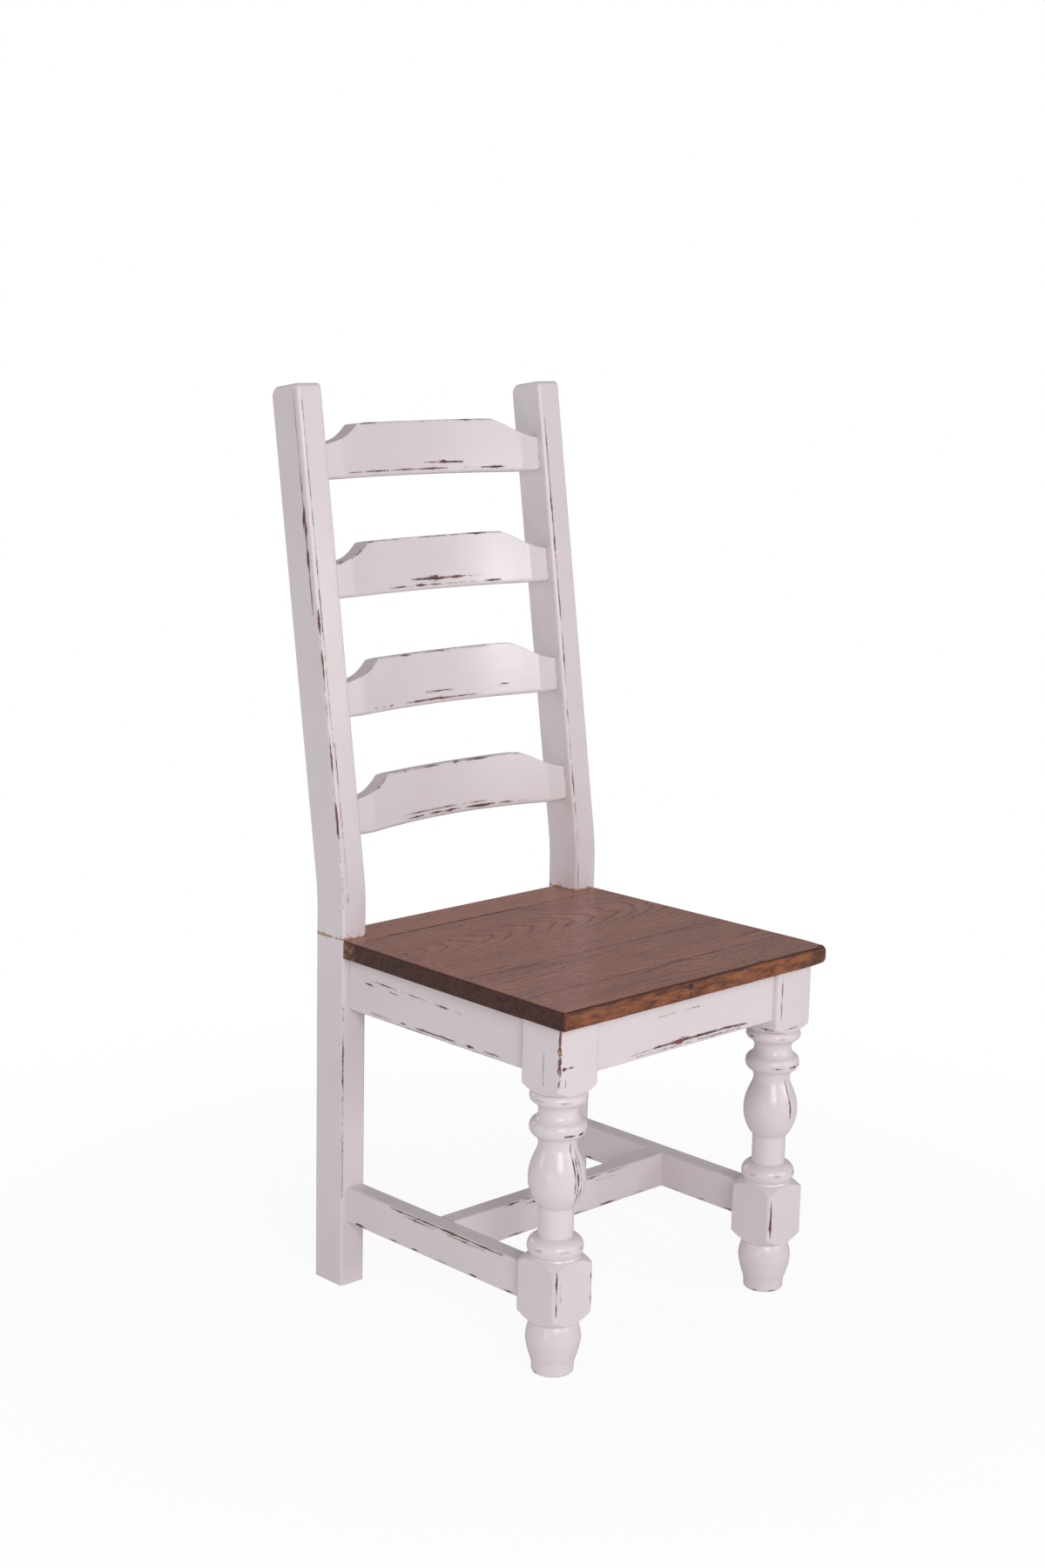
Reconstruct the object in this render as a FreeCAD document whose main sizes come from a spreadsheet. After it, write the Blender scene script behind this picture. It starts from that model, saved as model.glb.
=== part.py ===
"""A ladder-back dining chair, built piece by piece from one sheet of sizes.

The chair faces -Y and stands on Z = 0. X = 0 is its plane of symmetry, and Y = 0 is
the middle of its whole depth, from the front edge of the seat to the tops of the posts.
"""
import FreeCAD, Part

import math
import os

import Sketcher
from FreeCAD import Placement, Rotation, Vector

# Sizes in millimetres and degrees. Stations of the turning are measured on a marking
# stick that is stretched to the space between the two square blocks of the leg.
SIZES = (
    ("overall_height", 1145, "floor to the highest point of the posts"),
    ("seat_height", 460, "floor to the top of the seat"),
    ("frame_width", 449, "outer face to outer face of the legs and of the posts"),
    ("frame_depth", 442, "front face of the legs to the rear face of the posts, at the floor"),
    ("post_width", 38, "rear post across the chair"),
    ("post_depth", 54, "rear post from front to back"),
    ("bend_height", 518, "floor to the bend of the post, on its front face"),
    ("rake_angle", 8.6, "backward lean of the post above the bend"),
    ("bend_radius", 250, "easing of the bend"),
    ("post_edge_round", 4, "rounding of the long edges of a post"),
    ("post_front_round", 6, "rounding of the front corner of a post's top"),
    ("post_rear_round", 12, "rounding of the rear corner of a post's top"),
    ("leg_block", 65, "side of the square blocks of a front leg"),
    ("leg_edge_round", 5, "rounding of the long edges of the blocks"),
    ("upper_block", 75, "square block at the top of a front leg, up to the seat"),
    ("lower_block_bottom", 78.5, "floor to the bottom of the lower block"),
    ("lower_block_top", 134, "floor to the top of the lower block"),
    ("foot_neck_height", 64, "floor to the neck above the foot"),
    ("foot_neck_radius", 28.8, "neck above the foot"),
    ("foot_belly_height", 42.5, "floor to the widest part of the foot"),
    ("foot_belly_radius", 33.6, "widest part of the foot"),
    ("ankle_height", 15.5, "floor to the slim part of the foot"),
    ("ankle_radius", 26.6, "slim part of the foot"),
    ("foot_radius", 25.3, "bottom of the foot"),
    ("foot_rim_round", 3, "rounding of the bottom rim of the foot"),
    ("turning_blank_radius", 36, "round stock of the turned parts, a little wider than the blocks"),
    ("turning_clear_share", 0.72, "radius cleared beside the turning, as a share of the block's side"),
    ("stick_length", 228, "length of the marking stick for the turning"),
    ("lower_shoulder", 12, "top of the shoulder on the lower block"),
    ("torus_bottom", 14, "bottom of the torus above the lower block"),
    ("torus_top", 37, "top of the torus"),
    ("shaft_top", 72, "top of the plain shaft"),
    ("bulb_bottom", 75.5, "bottom edge of the bulb"),
    ("bulb_belly", 107, "widest part of the bulb"),
    ("bulb_flank", 133, "where the bulb's shoulder turns into its slope"),
    ("bulb_top", 146, "top of the bulb's slope"),
    ("cup_bottom", 161, "bottom edge of the cup moulding"),
    ("cup_nose", 171.5, "widest part of the cup moulding"),
    ("cup_top", 179.5, "where the cup turns in to the hollow above it"),
    ("bead_bottom", 202.5, "bottom of the bead under the upper block"),
    ("bead_top", 216, "top of the bead under the upper block"),
    ("shoulder_radius", 30.5, "both shoulders where they meet the mouldings"),
    ("torus_foot_radius", 29.5, "bottom of the torus"),
    ("shaft_radius", 21.3, "plain shaft"),
    ("bulb_foot_radius", 23.3, "bottom edge of the bulb"),
    ("bulb_radius", 34.4, "widest part of the bulb"),
    ("bulb_flank_radius", 29.2, "where the bulb's shoulder turns into its slope"),
    ("bulb_neck_radius", 23.6, "top of the bulb's slope"),
    ("cup_neck_radius", 26.5, "neck under the cup moulding"),
    ("cup_foot_radius", 28.5, "bottom edge of the cup moulding"),
    ("cup_radius", 34.3, "widest part of the cup moulding"),
    ("bead_foot_radius", 31.3, "ends of the hollow between the cup and the bead"),
    ("upper_shoulder_swell", 0.1, "height of that arc as a share of its chord, as below"),
    ("bead_swell", 0.29, "bead under the upper block"),
    ("bead_hollow", 0.33, "hollow between the bead and the cup"),
    ("cup_high_swell", 0.1, "cup above its widest part"),
    ("cup_low_swell", 0.14, "cup below its widest part"),
    ("bulb_neck_hollow", 0.1, "neck between the cup and the bulb"),
    ("bulb_high_swell", 0.055, "bulb above its widest part"),
    ("bulb_low_swell", 0.08, "bulb below its widest part"),
    ("bulb_foot_hollow", 0.12, "corner between the bulb and the shaft"),
    ("torus_swell", 0.34, "torus"),
    ("lower_shoulder_swell", 0.06, "shoulder on top of the lower block"),
    ("foot_high_swell", 0.05, "foot above its widest part"),
    ("foot_low_swell", 0.03, "foot below its widest part"),
    ("ankle_hollow", 0.03, "foot under its slim part"),
    ("slat_height", 74, "slat between its notches"),
    ("slat_thickness", 20, "slat from front to back"),
    ("slat_setback", 10, "slat's ends behind the front faces of the posts"),
    ("slat_land", 32, "flat part of a slat's face beside each post"),
    ("slat_bow", 15.5, "backward bow of the slat between its flat parts"),
    ("lowest_slat", 70, "bend to the lowest slat, along the post"),
    ("slat_pitch", 149, "one slat to the next, along the post"),
    ("notch_length", 66, "post to the upper corner of a slat's end notch"),
    ("notch_knee", 32, "post to the knee of the notch"),
    ("notch_knee_drop", 24, "top of the slat down to the knee"),
    ("notch_drop", 32, "top of the slat down to the end of the notch at the post"),
    ("notch_overcut", 5, "cut of the notches past the faces of the posts"),
    ("notch_hollow", 0.08, "height of the notch's arc as a share of its chord"),
    ("slat_tenon_height", 30, "tenon of a slat, along the post"),
    ("slat_tenon_shoulder", 6, "bottom of the slat to its tenon"),
    ("apron_height", 68, "aprons, down from the seat"),
    ("apron_thickness", 22, "aprons"),
    ("front_apron_inset", 8, "front apron behind the faces of the legs"),
    ("side_apron_inset", 9, "side aprons inside the outer faces of legs and posts"),
    ("rear_apron_inset", 10, "rear apron ahead of the rear faces of the posts"),
    ("apron_edge_round", 2.5, "rounding of the lower edges of the aprons"),
    ("stretcher_bottom", 84.5, "floor to the stretchers"),
    ("stretcher_height", 47, "stretchers"),
    ("stretcher_thickness", 26, "stretchers"),
    ("stretcher_inset", 10, "side stretchers inside the outer faces of legs and posts"),
    ("stretcher_edge_round", 3, "rounding of the long edges of the stretchers"),
    ("cross_stretcher_place", 213, "front face of the legs to the cross stretcher"),
    ("tenon_thickness", 9, "every tenon"),
    ("tenon_length", 18, "tenons in the legs and posts"),
    ("cross_tenon_length", 14, "tenons of the cross stretcher in the side stretchers"),
    ("tenon_shoulder", 10, "tenon inside the upper and lower faces of its rail"),
    ("joint_clearance", 0.15, "mortise wall to tenon, all round"),
    ("glue_gap", 1, "end of a tenon to the bottom of its mortise"),
    ("seat_thickness", 23, "seat boards"),
    ("seat_front_overhang", 15, "seat past the front faces of the legs"),
    ("seat_side_overhang", 9.5, "seat past the outer faces of the legs, at its front edge"),
    ("seat_post_overhang", 0, "seat past the outer faces of the posts, at the posts"),
    ("seat_rear_inset", 10, "rear edge of the seat ahead of the rear faces of the posts"),
    ("front_board_width", 70, "first seat board from the front"),
    ("second_board_width", 103, "second seat board from the front"),
    ("rear_board_width", 62, "rear seat board, which is notched round the posts"),
    ("post_notch_clearance", 0.4, "seat to post in the notches of the rear board"),
    ("seat_corner_round", 8, "front corners of the seat, seen from above"),
    ("seat_edge_round", 2.5, "rounding of the upper edges of the seat"),
    ("corner_block_height", 38, "corner blocks, down from the seat"),
    ("front_block_reach", 62, "front corner blocks along each apron, from the leg"),
    ("rear_block_reach", 45, "rear corner blocks along each apron, from the post"),
    ("screw_diameter", 4.5, "all screws"),
    ("screw_head_diameter", 9, "all screws"),
    ("screw_head_height", 3, "all screws"),
    ("screw_point_radius", 0.4, "blunt point of all screws"),
    ("screw_clearance", 0.1, "hole to screw, all round"),
    ("counterbore_diameter", 12, "pocket for the head of a corner screw"),
    ("corner_screw_grip", 15, "wood between the head of a corner screw and the leg"),
    ("corner_screw_depth", 17, "corner screw past the corner of the leg or post"),
    ("seat_screw_bite", 12, "seat screw in the seat board"),
    ("seat_screw_offset", 15, "seat screw from the corner of the leg or post, each way"),
)

LEFT = -1
RIGHT = 1
SIDE_NAMES = {LEFT: "left", RIGHT: "right"}

# Which way the middle of the chair lies from a corner of its frame.
FRONT = 1
REAR = -1
END_NAMES = {FRONT: "front", REAR: "rear"}

doc = FreeCAD.newDocument("LadderBackChair")
pieces = []


def as_size(item):
    """Turns a plain number into a Size."""
    if isinstance(item, Size):
        return item
    return Size(float(item), repr(item))


class Size:
    """A number together with the sheet expression that gives it."""

    def __init__(self, value, text):
        self.value = value
        self.text = text

    def joined(self, sign, other, value):
        return Size(value, "(" + self.text + " " + sign + " " + other.text + ")")

    def __add__(self, other):
        other = as_size(other)
        return self.joined("+", other, self.value + other.value)

    def __radd__(self, other):
        return as_size(other) + self

    def __sub__(self, other):
        other = as_size(other)
        return self.joined("-", other, self.value - other.value)

    def __rsub__(self, other):
        return as_size(other) - self

    def __mul__(self, other):
        other = as_size(other)
        return self.joined("*", other, self.value * other.value)

    def __rmul__(self, other):
        return as_size(other) * self

    def __truediv__(self, other):
        other = as_size(other)
        return self.joined("/", other, self.value / other.value)

    def __rtruediv__(self, other):
        return as_size(other) / self

    def __neg__(self):
        return self * -1


def sine(angle):
    return Size(math.sin(math.radians(angle.value)), "sin(" + angle.text + ")")


def cosine(angle):
    return Size(math.cos(math.radians(angle.value)), "cos(" + angle.text + ")")


def tangent(angle):
    return Size(math.tan(math.radians(angle.value)), "tan(" + angle.text + ")")


def root(item):
    return Size(math.sqrt(item.value), "sqrt(" + item.text + ")")


def make_sheet():
    """Writes the sizes into the sheet and returns them by name."""
    sheet = doc.addObject("Spreadsheet::Sheet", "Sizes")
    found = {}
    for row, (name, value, note) in enumerate(SIZES, start=1):
        sheet.set("A%d" % row, name)
        sheet.set("B%d" % row, str(value))
        sheet.set("C%d" % row, note)
        sheet.setAlias("B%d" % row, name)
        found[name] = Size(float(value), "Sizes." + name)
    doc.recompute()
    return found


def bind(item, path, size):
    """Ties one property of an object to the sheet."""
    item.setExpression(path, as_size(size).text)


def new_body(label, place, turn_axis=Vector(0, 0, 1), turn=0):
    """Starts a piece at a place given as three sizes."""
    body = doc.addObject("PartDesign::Body", label)
    body.Label = label
    x, y, z = [as_size(part) for part in place]
    angle = as_size(turn)
    spin = Rotation(turn_axis, angle.value)
    body.Placement = Placement(Vector(x.value, y.value, z.value), spin)
    bind(body, ".Placement.Base.x", x)
    bind(body, ".Placement.Base.y", y)
    bind(body, ".Placement.Base.z", z)
    if isinstance(turn, Size):
        bind(body, ".Placement.Rotation.Angle", angle)
    pieces.append(body)
    return body


def new_sketch(body, role, lift=0, turn_axis=Vector(0, 0, 1), turn=0, shift=(0, 0)):
    """A sketch on one of the body's own planes, lifted along the plane's normal."""
    sketch = body.newObject("Sketcher::SketchObject", body.Name + "_sketch")
    plane = [item for item in body.Origin.OriginFeatures if item.Role == role][0]
    sketch.AttachmentSupport = [(plane, "")]
    sketch.MapMode = "FlatFace"
    across, up, lift, angle = [as_size(part) for part in (shift[0], shift[1], lift, turn)]
    spin = Rotation(turn_axis, angle.value)
    sketch.AttachmentOffset = Placement(Vector(across.value, up.value, lift.value), spin)
    bind(sketch, ".AttachmentOffset.Base.x", across)
    bind(sketch, ".AttachmentOffset.Base.y", up)
    bind(sketch, ".AttachmentOffset.Base.z", lift)
    if isinstance(turn, Size):
        bind(sketch, ".AttachmentOffset.Rotation.Angle", angle)
    return sketch


def hold(sketch, kind, first, second, size):
    """Adds one constraint whose value comes from the sheet."""
    number = sketch.addConstraint(Sketcher.Constraint(kind, *first, *second, size.value))
    bind(sketch, "Constraints[%d]" % number, size)


def hold_point(sketch, shape, end, across, up):
    """Fixes a point of the sketch by its two distances from the origin."""
    for kind, axis, size in (("DistanceX", -2, across), ("DistanceY", -1, up)):
        if size.text in ("0", "0.0"):
            sketch.addConstraint(Sketcher.Constraint("PointOnObject", shape, end, axis))
        else:
            hold(sketch, kind, (-1, 1), (shape, end), size)


def outline(sketch, *corners):
    """Draws a closed outline.

    A corner is (across, up) or (across, up, bulge). The bulge is the height of the arc
    from that corner to the next as a share of its chord, and it is positive where the
    arc swells to the right of the way along it.
    """
    points = [(as_size(corner[0]), as_size(corner[1])) for corner in corners]
    bulges = [as_size(corner[2] if len(corner) > 2 else 0) for corner in corners]
    ends = []
    for index, (across, up) in enumerate(points):
        next_across, next_up = points[(index + 1) % len(points)]
        start = Vector(across.value, up.value, 0)
        stop = Vector(next_across.value, next_up.value, 0)
        bulge = bulges[index]
        if bulge.value == 0:
            shape = sketch.addGeometry(Part.LineSegment(start, stop))
            ends.append((shape, 1, 2))
            continue
        along = stop - start
        middle = (start + stop) / 2 + Vector(along.y, -along.x, 0) * bulge.value
        if bulge.value > 0:
            shape = sketch.addGeometry(Part.Arc(start, middle, stop))
            ends.append((shape, 1, 2))
        else:
            shape = sketch.addGeometry(Part.Arc(stop, middle, start))
            ends.append((shape, 2, 1))
        run = next_across - across
        rise = next_up - up
        height = bulge if bulge.value > 0 else -bulge
        share = 1 / (8 * height) + height / 2
        hold(sketch, "Radius", (shape,), (), root(run * run + rise * rise) * share)
    for index, (shape, first, last) in enumerate(ends):
        next_shape, next_first, unused = ends[(index + 1) % len(ends)]
        sketch.addConstraint(Sketcher.Constraint("Coincident", shape, last, next_shape, next_first))
        hold_point(sketch, shape, first, *points[index])


def rectangle(sketch, left, right, bottom, top):
    outline(sketch, (left, bottom), (right, bottom), (right, top), (left, top))


def circle(sketch, across, up, diameter):
    across, up = as_size(across), as_size(up)
    ring = Part.Circle(Vector(across.value, up.value, 0), Vector(0, 0, 1), diameter.value / 2)
    shape = sketch.addGeometry(ring)
    hold(sketch, "Diameter", (shape,), (), diameter)
    hold_point(sketch, shape, 3, across, up)


def add_feature(body, kind, sketch):
    feature = body.newObject("PartDesign::" + kind, body.Name + "_" + kind.lower())
    feature.Profile = sketch
    sketch.Visibility = False
    return feature


def pad(body, sketch, length, both_ways=False, backward=False):
    feature = add_feature(body, "Pad", sketch)
    bind(feature, "Length", length)
    feature.Midplane = both_ways
    feature.Reversed = backward
    doc.recompute()
    return feature


def solid_volume(body):
    doc.recompute()
    return body.Shape.Volume


def pocket(body, sketch, depth=None, both_ways=False, backward=False):
    """Cuts to a depth, or right through where no depth is given."""
    before = solid_volume(body)
    feature = add_feature(body, "Pocket", sketch)
    if depth is None:
        feature.Type = "ThroughAll"
    else:
        bind(feature, "Length", depth)
    feature.Midplane = both_ways
    feature.Reversed = backward
    check_cut(body, feature, before)
    return feature


def groove(body, sketch):
    """Turns the outline round the upright axis of the piece and cuts it away."""
    before = solid_volume(body)
    feature = add_feature(body, "Groove", sketch)
    feature.ReferenceAxis = (sketch, ["V_Axis"])
    feature.Angle = 360
    check_cut(body, feature, before)
    return feature


def check_cut(body, feature, before):
    if solid_volume(body) > before - 1:
        raise RuntimeError(feature.Label + " cuts nothing")


def round_edges(body, radius, wanted):
    """Rounds every edge of the piece that the test picks."""
    doc.recompute()
    base = body.Tip
    names = ["Edge%d" % number for number, edge in enumerate(base.Shape.Edges, start=1) if wanted(edge)]
    feature = body.newObject("PartDesign::Fillet", body.Name + "_fillet")
    feature.Base = (base, names)
    bind(feature, "Radius", radius)
    doc.recompute()
    return feature


def near(first, second):
    return abs(first - second) < 1e-4


def ends_of(edge):
    return [vertex.Point for vertex in edge.Vertexes]


def turned(angle):
    """The bulge of an arc that turns through this angle."""
    return tangent(as_size(angle) / 4) / 2


size = make_sheet()
quarter_round = turned(90)

# Places that several pieces share.
rake = size["rake_angle"]
half_width = size["frame_width"] / 2
post_front = size["frame_depth"] - size["post_depth"]
front_round = size["post_front_round"]
rear_round = size["post_rear_round"]
raked_rise = size["overall_height"] - size["bend_height"] - front_round + front_round * sine(rake)
raked_length = raked_rise / cosine(rake) + front_round
rear_center = (size["post_depth"] - rear_round) * cosine(rake) + (raked_length - rear_round) * sine(rake)
rearmost = post_front + rear_center + rear_round
leg_front = (size["seat_front_overhang"] - rearmost) / 2
seat_under = size["seat_height"] - size["seat_thickness"]
apron_bottom = seat_under - size["apron_height"]
post_inner = half_width - size["post_width"]
leg_inner = half_width - size["leg_block"]
side_apron_middle = half_width - size["side_apron_inset"] - size["apron_thickness"] / 2
side_apron_inner = half_width - size["side_apron_inset"] - size["apron_thickness"]
stretcher_middle = half_width - size["stretcher_inset"] - size["stretcher_thickness"] / 2
stretcher_inner = half_width - size["stretcher_inset"] - size["stretcher_thickness"]
front_apron_back = size["front_apron_inset"] + size["apron_thickness"]
rear_apron_back = size["frame_depth"] - size["rear_apron_inset"]
rear_apron_front = rear_apron_back - size["apron_thickness"]
apron_tenon = (apron_bottom + size["tenon_shoulder"], seat_under - size["tenon_shoulder"])
stretcher_top = size["stretcher_bottom"] + size["stretcher_height"]
stretcher_tenon = (size["stretcher_bottom"] + size["tenon_shoulder"], stretcher_top - size["tenon_shoulder"])
mortise_depth = size["tenon_length"] + size["glue_gap"]
corner_screw_height = seat_under - size["corner_block_height"] / 2
screw_hole = size["screw_diameter"] + 2 * size["screw_clearance"]
pilot_depth = size["corner_screw_depth"] + size["glue_gap"]
corner_places = {
    FRONT: (leg_inner, size["leg_block"]),
    REAR: (post_inner, post_front),
}
block_gaps = {
    FRONT: (side_apron_inner - leg_inner, size["leg_block"] - front_apron_back),
    REAR: (side_apron_inner - post_inner, rear_apron_front - post_front),
}
seat_screw_offsets = {
    FRONT: (size["seat_screw_offset"], size["seat_screw_offset"]),
    REAR: (-size["seat_screw_offset"], block_gaps[REAR][1] / 2),
}


def mortise(sketch, middle, span, thickness=None):
    """An upright slot round a tenon, in a sketch whose upright direction is Z."""
    thickness = thickness or size["tenon_thickness"]
    room = thickness / 2 + size["joint_clearance"]
    play = size["joint_clearance"]
    rectangle(sketch, middle - room, middle + room, span[0] - play, span[1] + play)


def corner_hole(body, side, end, corner, reach, diameter):
    """The circle of a level hole at 45 degrees through an inner corner of the frame.

    Its sketch faces the middle of the chair, and lies that far inside the corner.
    """
    step = reach / math.sqrt(2)
    sketch = new_sketch(
        body, "XZ_Plane",
        lift=-(corner[1] + end * step),
        shift=(corner[0] - side * step, 0),
        turn_axis=Vector(0, 1, 0),
        turn=-side * (90 + 45 * end),
    )
    circle(sketch, 0, corner_screw_height, diameter)
    return sketch


def seat_screw_place(side, end):
    """Where a seat screw stands, from the middle of the chair and the front of the legs."""
    across, along = corner_places[end]
    outward, inward = seat_screw_offsets[end]
    return side * (across + outward), along + inward


def rear_post(side):
    """A bent post with its mortises, from its own foot up."""
    body = new_body(
        "rear_post_" + SIDE_NAMES[side],
        (side * (half_width - size["post_width"] / 2), leg_front + post_front, 0),
    )
    depth = size["post_depth"]
    easing = size["bend_radius"] * tangent(rake / 2)
    low = size["bend_height"] - easing
    rear_low = size["bend_height"] - depth * tangent(rake / 2) - easing
    rear_offset = depth * cosine(rake)

    def raked(ahead, along):
        """A point of the raked part: its distance from the front face, and up the post."""
        across = ahead * cosine(rake) + along * sine(rake)
        up = size["bend_height"] + along * cosine(rake) - ahead * sine(rake)
        return across, up

    rear_start = depth * tangent(rake / 2) + easing
    bend_bulge = turned(rake)
    sketch = new_sketch(body, "YZ_Plane")
    outline(
        sketch,
        (0, 0),
        (depth, 0),
        (depth, rear_low, -bend_bulge),
        raked(depth, rear_start),
        (*raked(depth, raked_length - rear_round), quarter_round),
        raked(depth - rear_round, raked_length),
        (*raked(front_round, raked_length), quarter_round),
        raked(as_size(0), raked_length - front_round),
        (*raked(as_size(0), easing), bend_bulge),
        (0, low),
    )
    pad(body, sketch, size["post_width"], both_ways=True)
    half = size["post_width"].value / 2

    def long_edge(edge):
        points = ends_of(edge)
        on_side = all(near(abs(point.x), half) for point in points)
        same_side = near(points[0].x, points[-1].x)
        return on_side and same_side and max(point.z for point in points) > 1

    round_edges(body, size["post_edge_round"], long_edge)

    inner = -side * size["post_width"] / 2
    slots = new_sketch(
        body, "YZ_Plane", lift=inner, shift=(0, size["bend_height"]), turn_axis=Vector(0, 0, 1), turn=-rake
    )
    slat_middle = size["slat_setback"] + size["slat_thickness"] / 2
    for number in range(4):
        bottom = size["lowest_slat"] + number * size["slat_pitch"] + size["slat_tenon_shoulder"]
        mortise(slots, slat_middle, (bottom, bottom + size["slat_tenon_height"]))
    pocket(body, slots, mortise_depth, backward=side == RIGHT)

    rear_slot = new_sketch(body, "YZ_Plane", lift=inner)
    mortise(rear_slot, rear_apron_back - size["apron_thickness"] / 2 - post_front, apron_tenon)
    pocket(body, rear_slot, mortise_depth, backward=side == RIGHT)

    own_middle = half_width - size["post_width"] / 2
    front_slots = new_sketch(body, "XZ_Plane")
    mortise(front_slots, side * (side_apron_middle - own_middle), apron_tenon)
    mortise(front_slots, side * (stretcher_middle - own_middle), stretcher_tenon)
    pocket(body, front_slots, mortise_depth)

    corner = (-side * size["post_width"] / 2, as_size(0))
    pocket(body, corner_hole(body, side, REAR, corner, -pilot_depth, screw_hole), backward=True)


def stick(station):
    """The height of a mark on the stick, once it is stretched between the blocks."""
    space = seat_under - size["upper_block"] - size["lower_block_top"]
    return size["lower_block_top"] + size[station] * space / size["stick_length"]


def front_leg(side):
    """A square blank, turned between its blocks and below them."""
    body = new_body(
        "front_leg_" + SIDE_NAMES[side],
        (side * (half_width - size["leg_block"] / 2), leg_front + size["leg_block"] / 2, 0),
    )
    half = size["leg_block"] / 2
    sketch = new_sketch(body, "XY_Plane")
    rectangle(sketch, -half, half, -half, half)
    pad(body, sketch, seat_under)
    round_edges(body, size["leg_edge_round"], lambda edge: not near(ends_of(edge)[0].z, ends_of(edge)[-1].z))
    for start, stop in ((stick("lower_shoulder"), stick("bead_top")), (as_size(0), size["foot_neck_height"])):
        stock = new_sketch(body, "XY_Plane", lift=start)
        circle(stock, 0, 0, 2 * size["turning_blank_radius"])
        pad(body, stock, stop - start)

    clear = size["leg_block"] * size["turning_clear_share"]
    shoulder_top = seat_under - size["upper_block"]
    turning = new_sketch(body, "XZ_Plane")
    outline(
        turning,
        (clear, size["lower_block_top"], size["lower_shoulder_swell"]),
        (size["shoulder_radius"], stick("lower_shoulder")),
        (size["torus_foot_radius"], stick("torus_bottom"), size["torus_swell"]),
        (size["shaft_radius"], stick("torus_top")),
        (size["shaft_radius"], stick("shaft_top"), -size["bulb_foot_hollow"]),
        (size["bulb_foot_radius"], stick("bulb_bottom"), size["bulb_low_swell"]),
        (size["bulb_radius"], stick("bulb_belly"), size["bulb_high_swell"]),
        (size["bulb_flank_radius"], stick("bulb_flank")),
        (size["bulb_neck_radius"], stick("bulb_top"), -size["bulb_neck_hollow"]),
        (size["cup_neck_radius"], stick("cup_bottom")),
        (size["cup_foot_radius"], stick("cup_bottom"), size["cup_low_swell"]),
        (size["cup_radius"], stick("cup_nose"), size["cup_high_swell"]),
        (size["bead_foot_radius"], stick("cup_top"), -size["bead_hollow"]),
        (size["bead_foot_radius"], stick("bead_bottom"), size["bead_swell"]),
        (size["shoulder_radius"], stick("bead_top"), size["upper_shoulder_swell"]),
        (clear, shoulder_top),
    )
    groove(body, turning)

    foot = new_sketch(body, "XZ_Plane")
    rim = size["foot_rim_round"]
    outline(
        foot,
        (size["foot_radius"] - rim, 0, quarter_round),
        (size["foot_radius"], rim, -size["ankle_hollow"]),
        (size["ankle_radius"], size["ankle_height"], size["foot_low_swell"]),
        (size["foot_belly_radius"], size["foot_belly_height"], size["foot_high_swell"]),
        (size["foot_neck_radius"], size["foot_neck_height"]),
        (clear, size["lower_block_bottom"]),
        (clear, 0),
    )
    groove(body, foot)

    inner = -side * half
    side_slot = new_sketch(body, "YZ_Plane", lift=inner)
    mortise(side_slot, size["front_apron_inset"] + size["apron_thickness"] / 2 - half, apron_tenon)
    pocket(body, side_slot, mortise_depth, backward=side == RIGHT)

    own_middle = half_width - half
    rear_slots = new_sketch(body, "XZ_Plane", lift=-half)
    mortise(rear_slots, side * (side_apron_middle - own_middle), apron_tenon)
    mortise(rear_slots, side * (stretcher_middle - own_middle), stretcher_tenon)
    pocket(body, rear_slots, mortise_depth, backward=True)
    pocket(body, corner_hole(body, side, FRONT, (inner, half), -pilot_depth, screw_hole), backward=True)


def rail(label, place, length, thickness, bottom, height, tenon_span, tenon_length, edge_round, rounded, turn=0):
    """A straight rail along its own X, with a tenon at each end."""
    body = new_body(label, place, turn=turn)
    section = new_sketch(body, "YZ_Plane")
    rectangle(section, -thickness / 2, thickness / 2, bottom, bottom + height)
    pad(body, section, length, both_ways=True)
    half = length.value / 2

    def long_edge(edge):
        first, last = ends_of(edge)[0], ends_of(edge)[-1]
        runs_along = near(abs(first.x), half) and near(first.x, -last.x)
        return runs_along and rounded(first.z)

    round_edges(body, edge_round, long_edge)
    tongue = new_sketch(body, "YZ_Plane")
    half_tenon = size["tenon_thickness"] / 2
    rectangle(tongue, -half_tenon, half_tenon, *tenon_span)
    pad(body, tongue, length + 2 * tenon_length, both_ways=True)
    return body


def aprons():
    """The four rails under the seat."""
    thickness = size["apron_thickness"]
    height = size["apron_height"]
    long_rail = 2 * leg_inner
    shared = (thickness, apron_bottom, height, apron_tenon, size["tenon_length"], size["apron_edge_round"])

    def at_bottom(level):
        return near(level, apron_bottom.value)

    front_place = (0, leg_front + size["front_apron_inset"] + thickness / 2, 0)
    rail("front_apron", front_place, long_rail, *shared, at_bottom)
    rear_place = (0, leg_front + rear_apron_back - thickness / 2, 0)
    rail("rear_apron", rear_place, 2 * post_inner, *shared, at_bottom)
    side_rail = post_front - size["leg_block"]
    middle = leg_front + size["leg_block"] + side_rail / 2
    for side in (LEFT, RIGHT):
        name = "side_apron_" + SIDE_NAMES[side]
        rail(name, (side * side_apron_middle, middle, 0), side_rail, *shared, at_bottom, turn=90)


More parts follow.
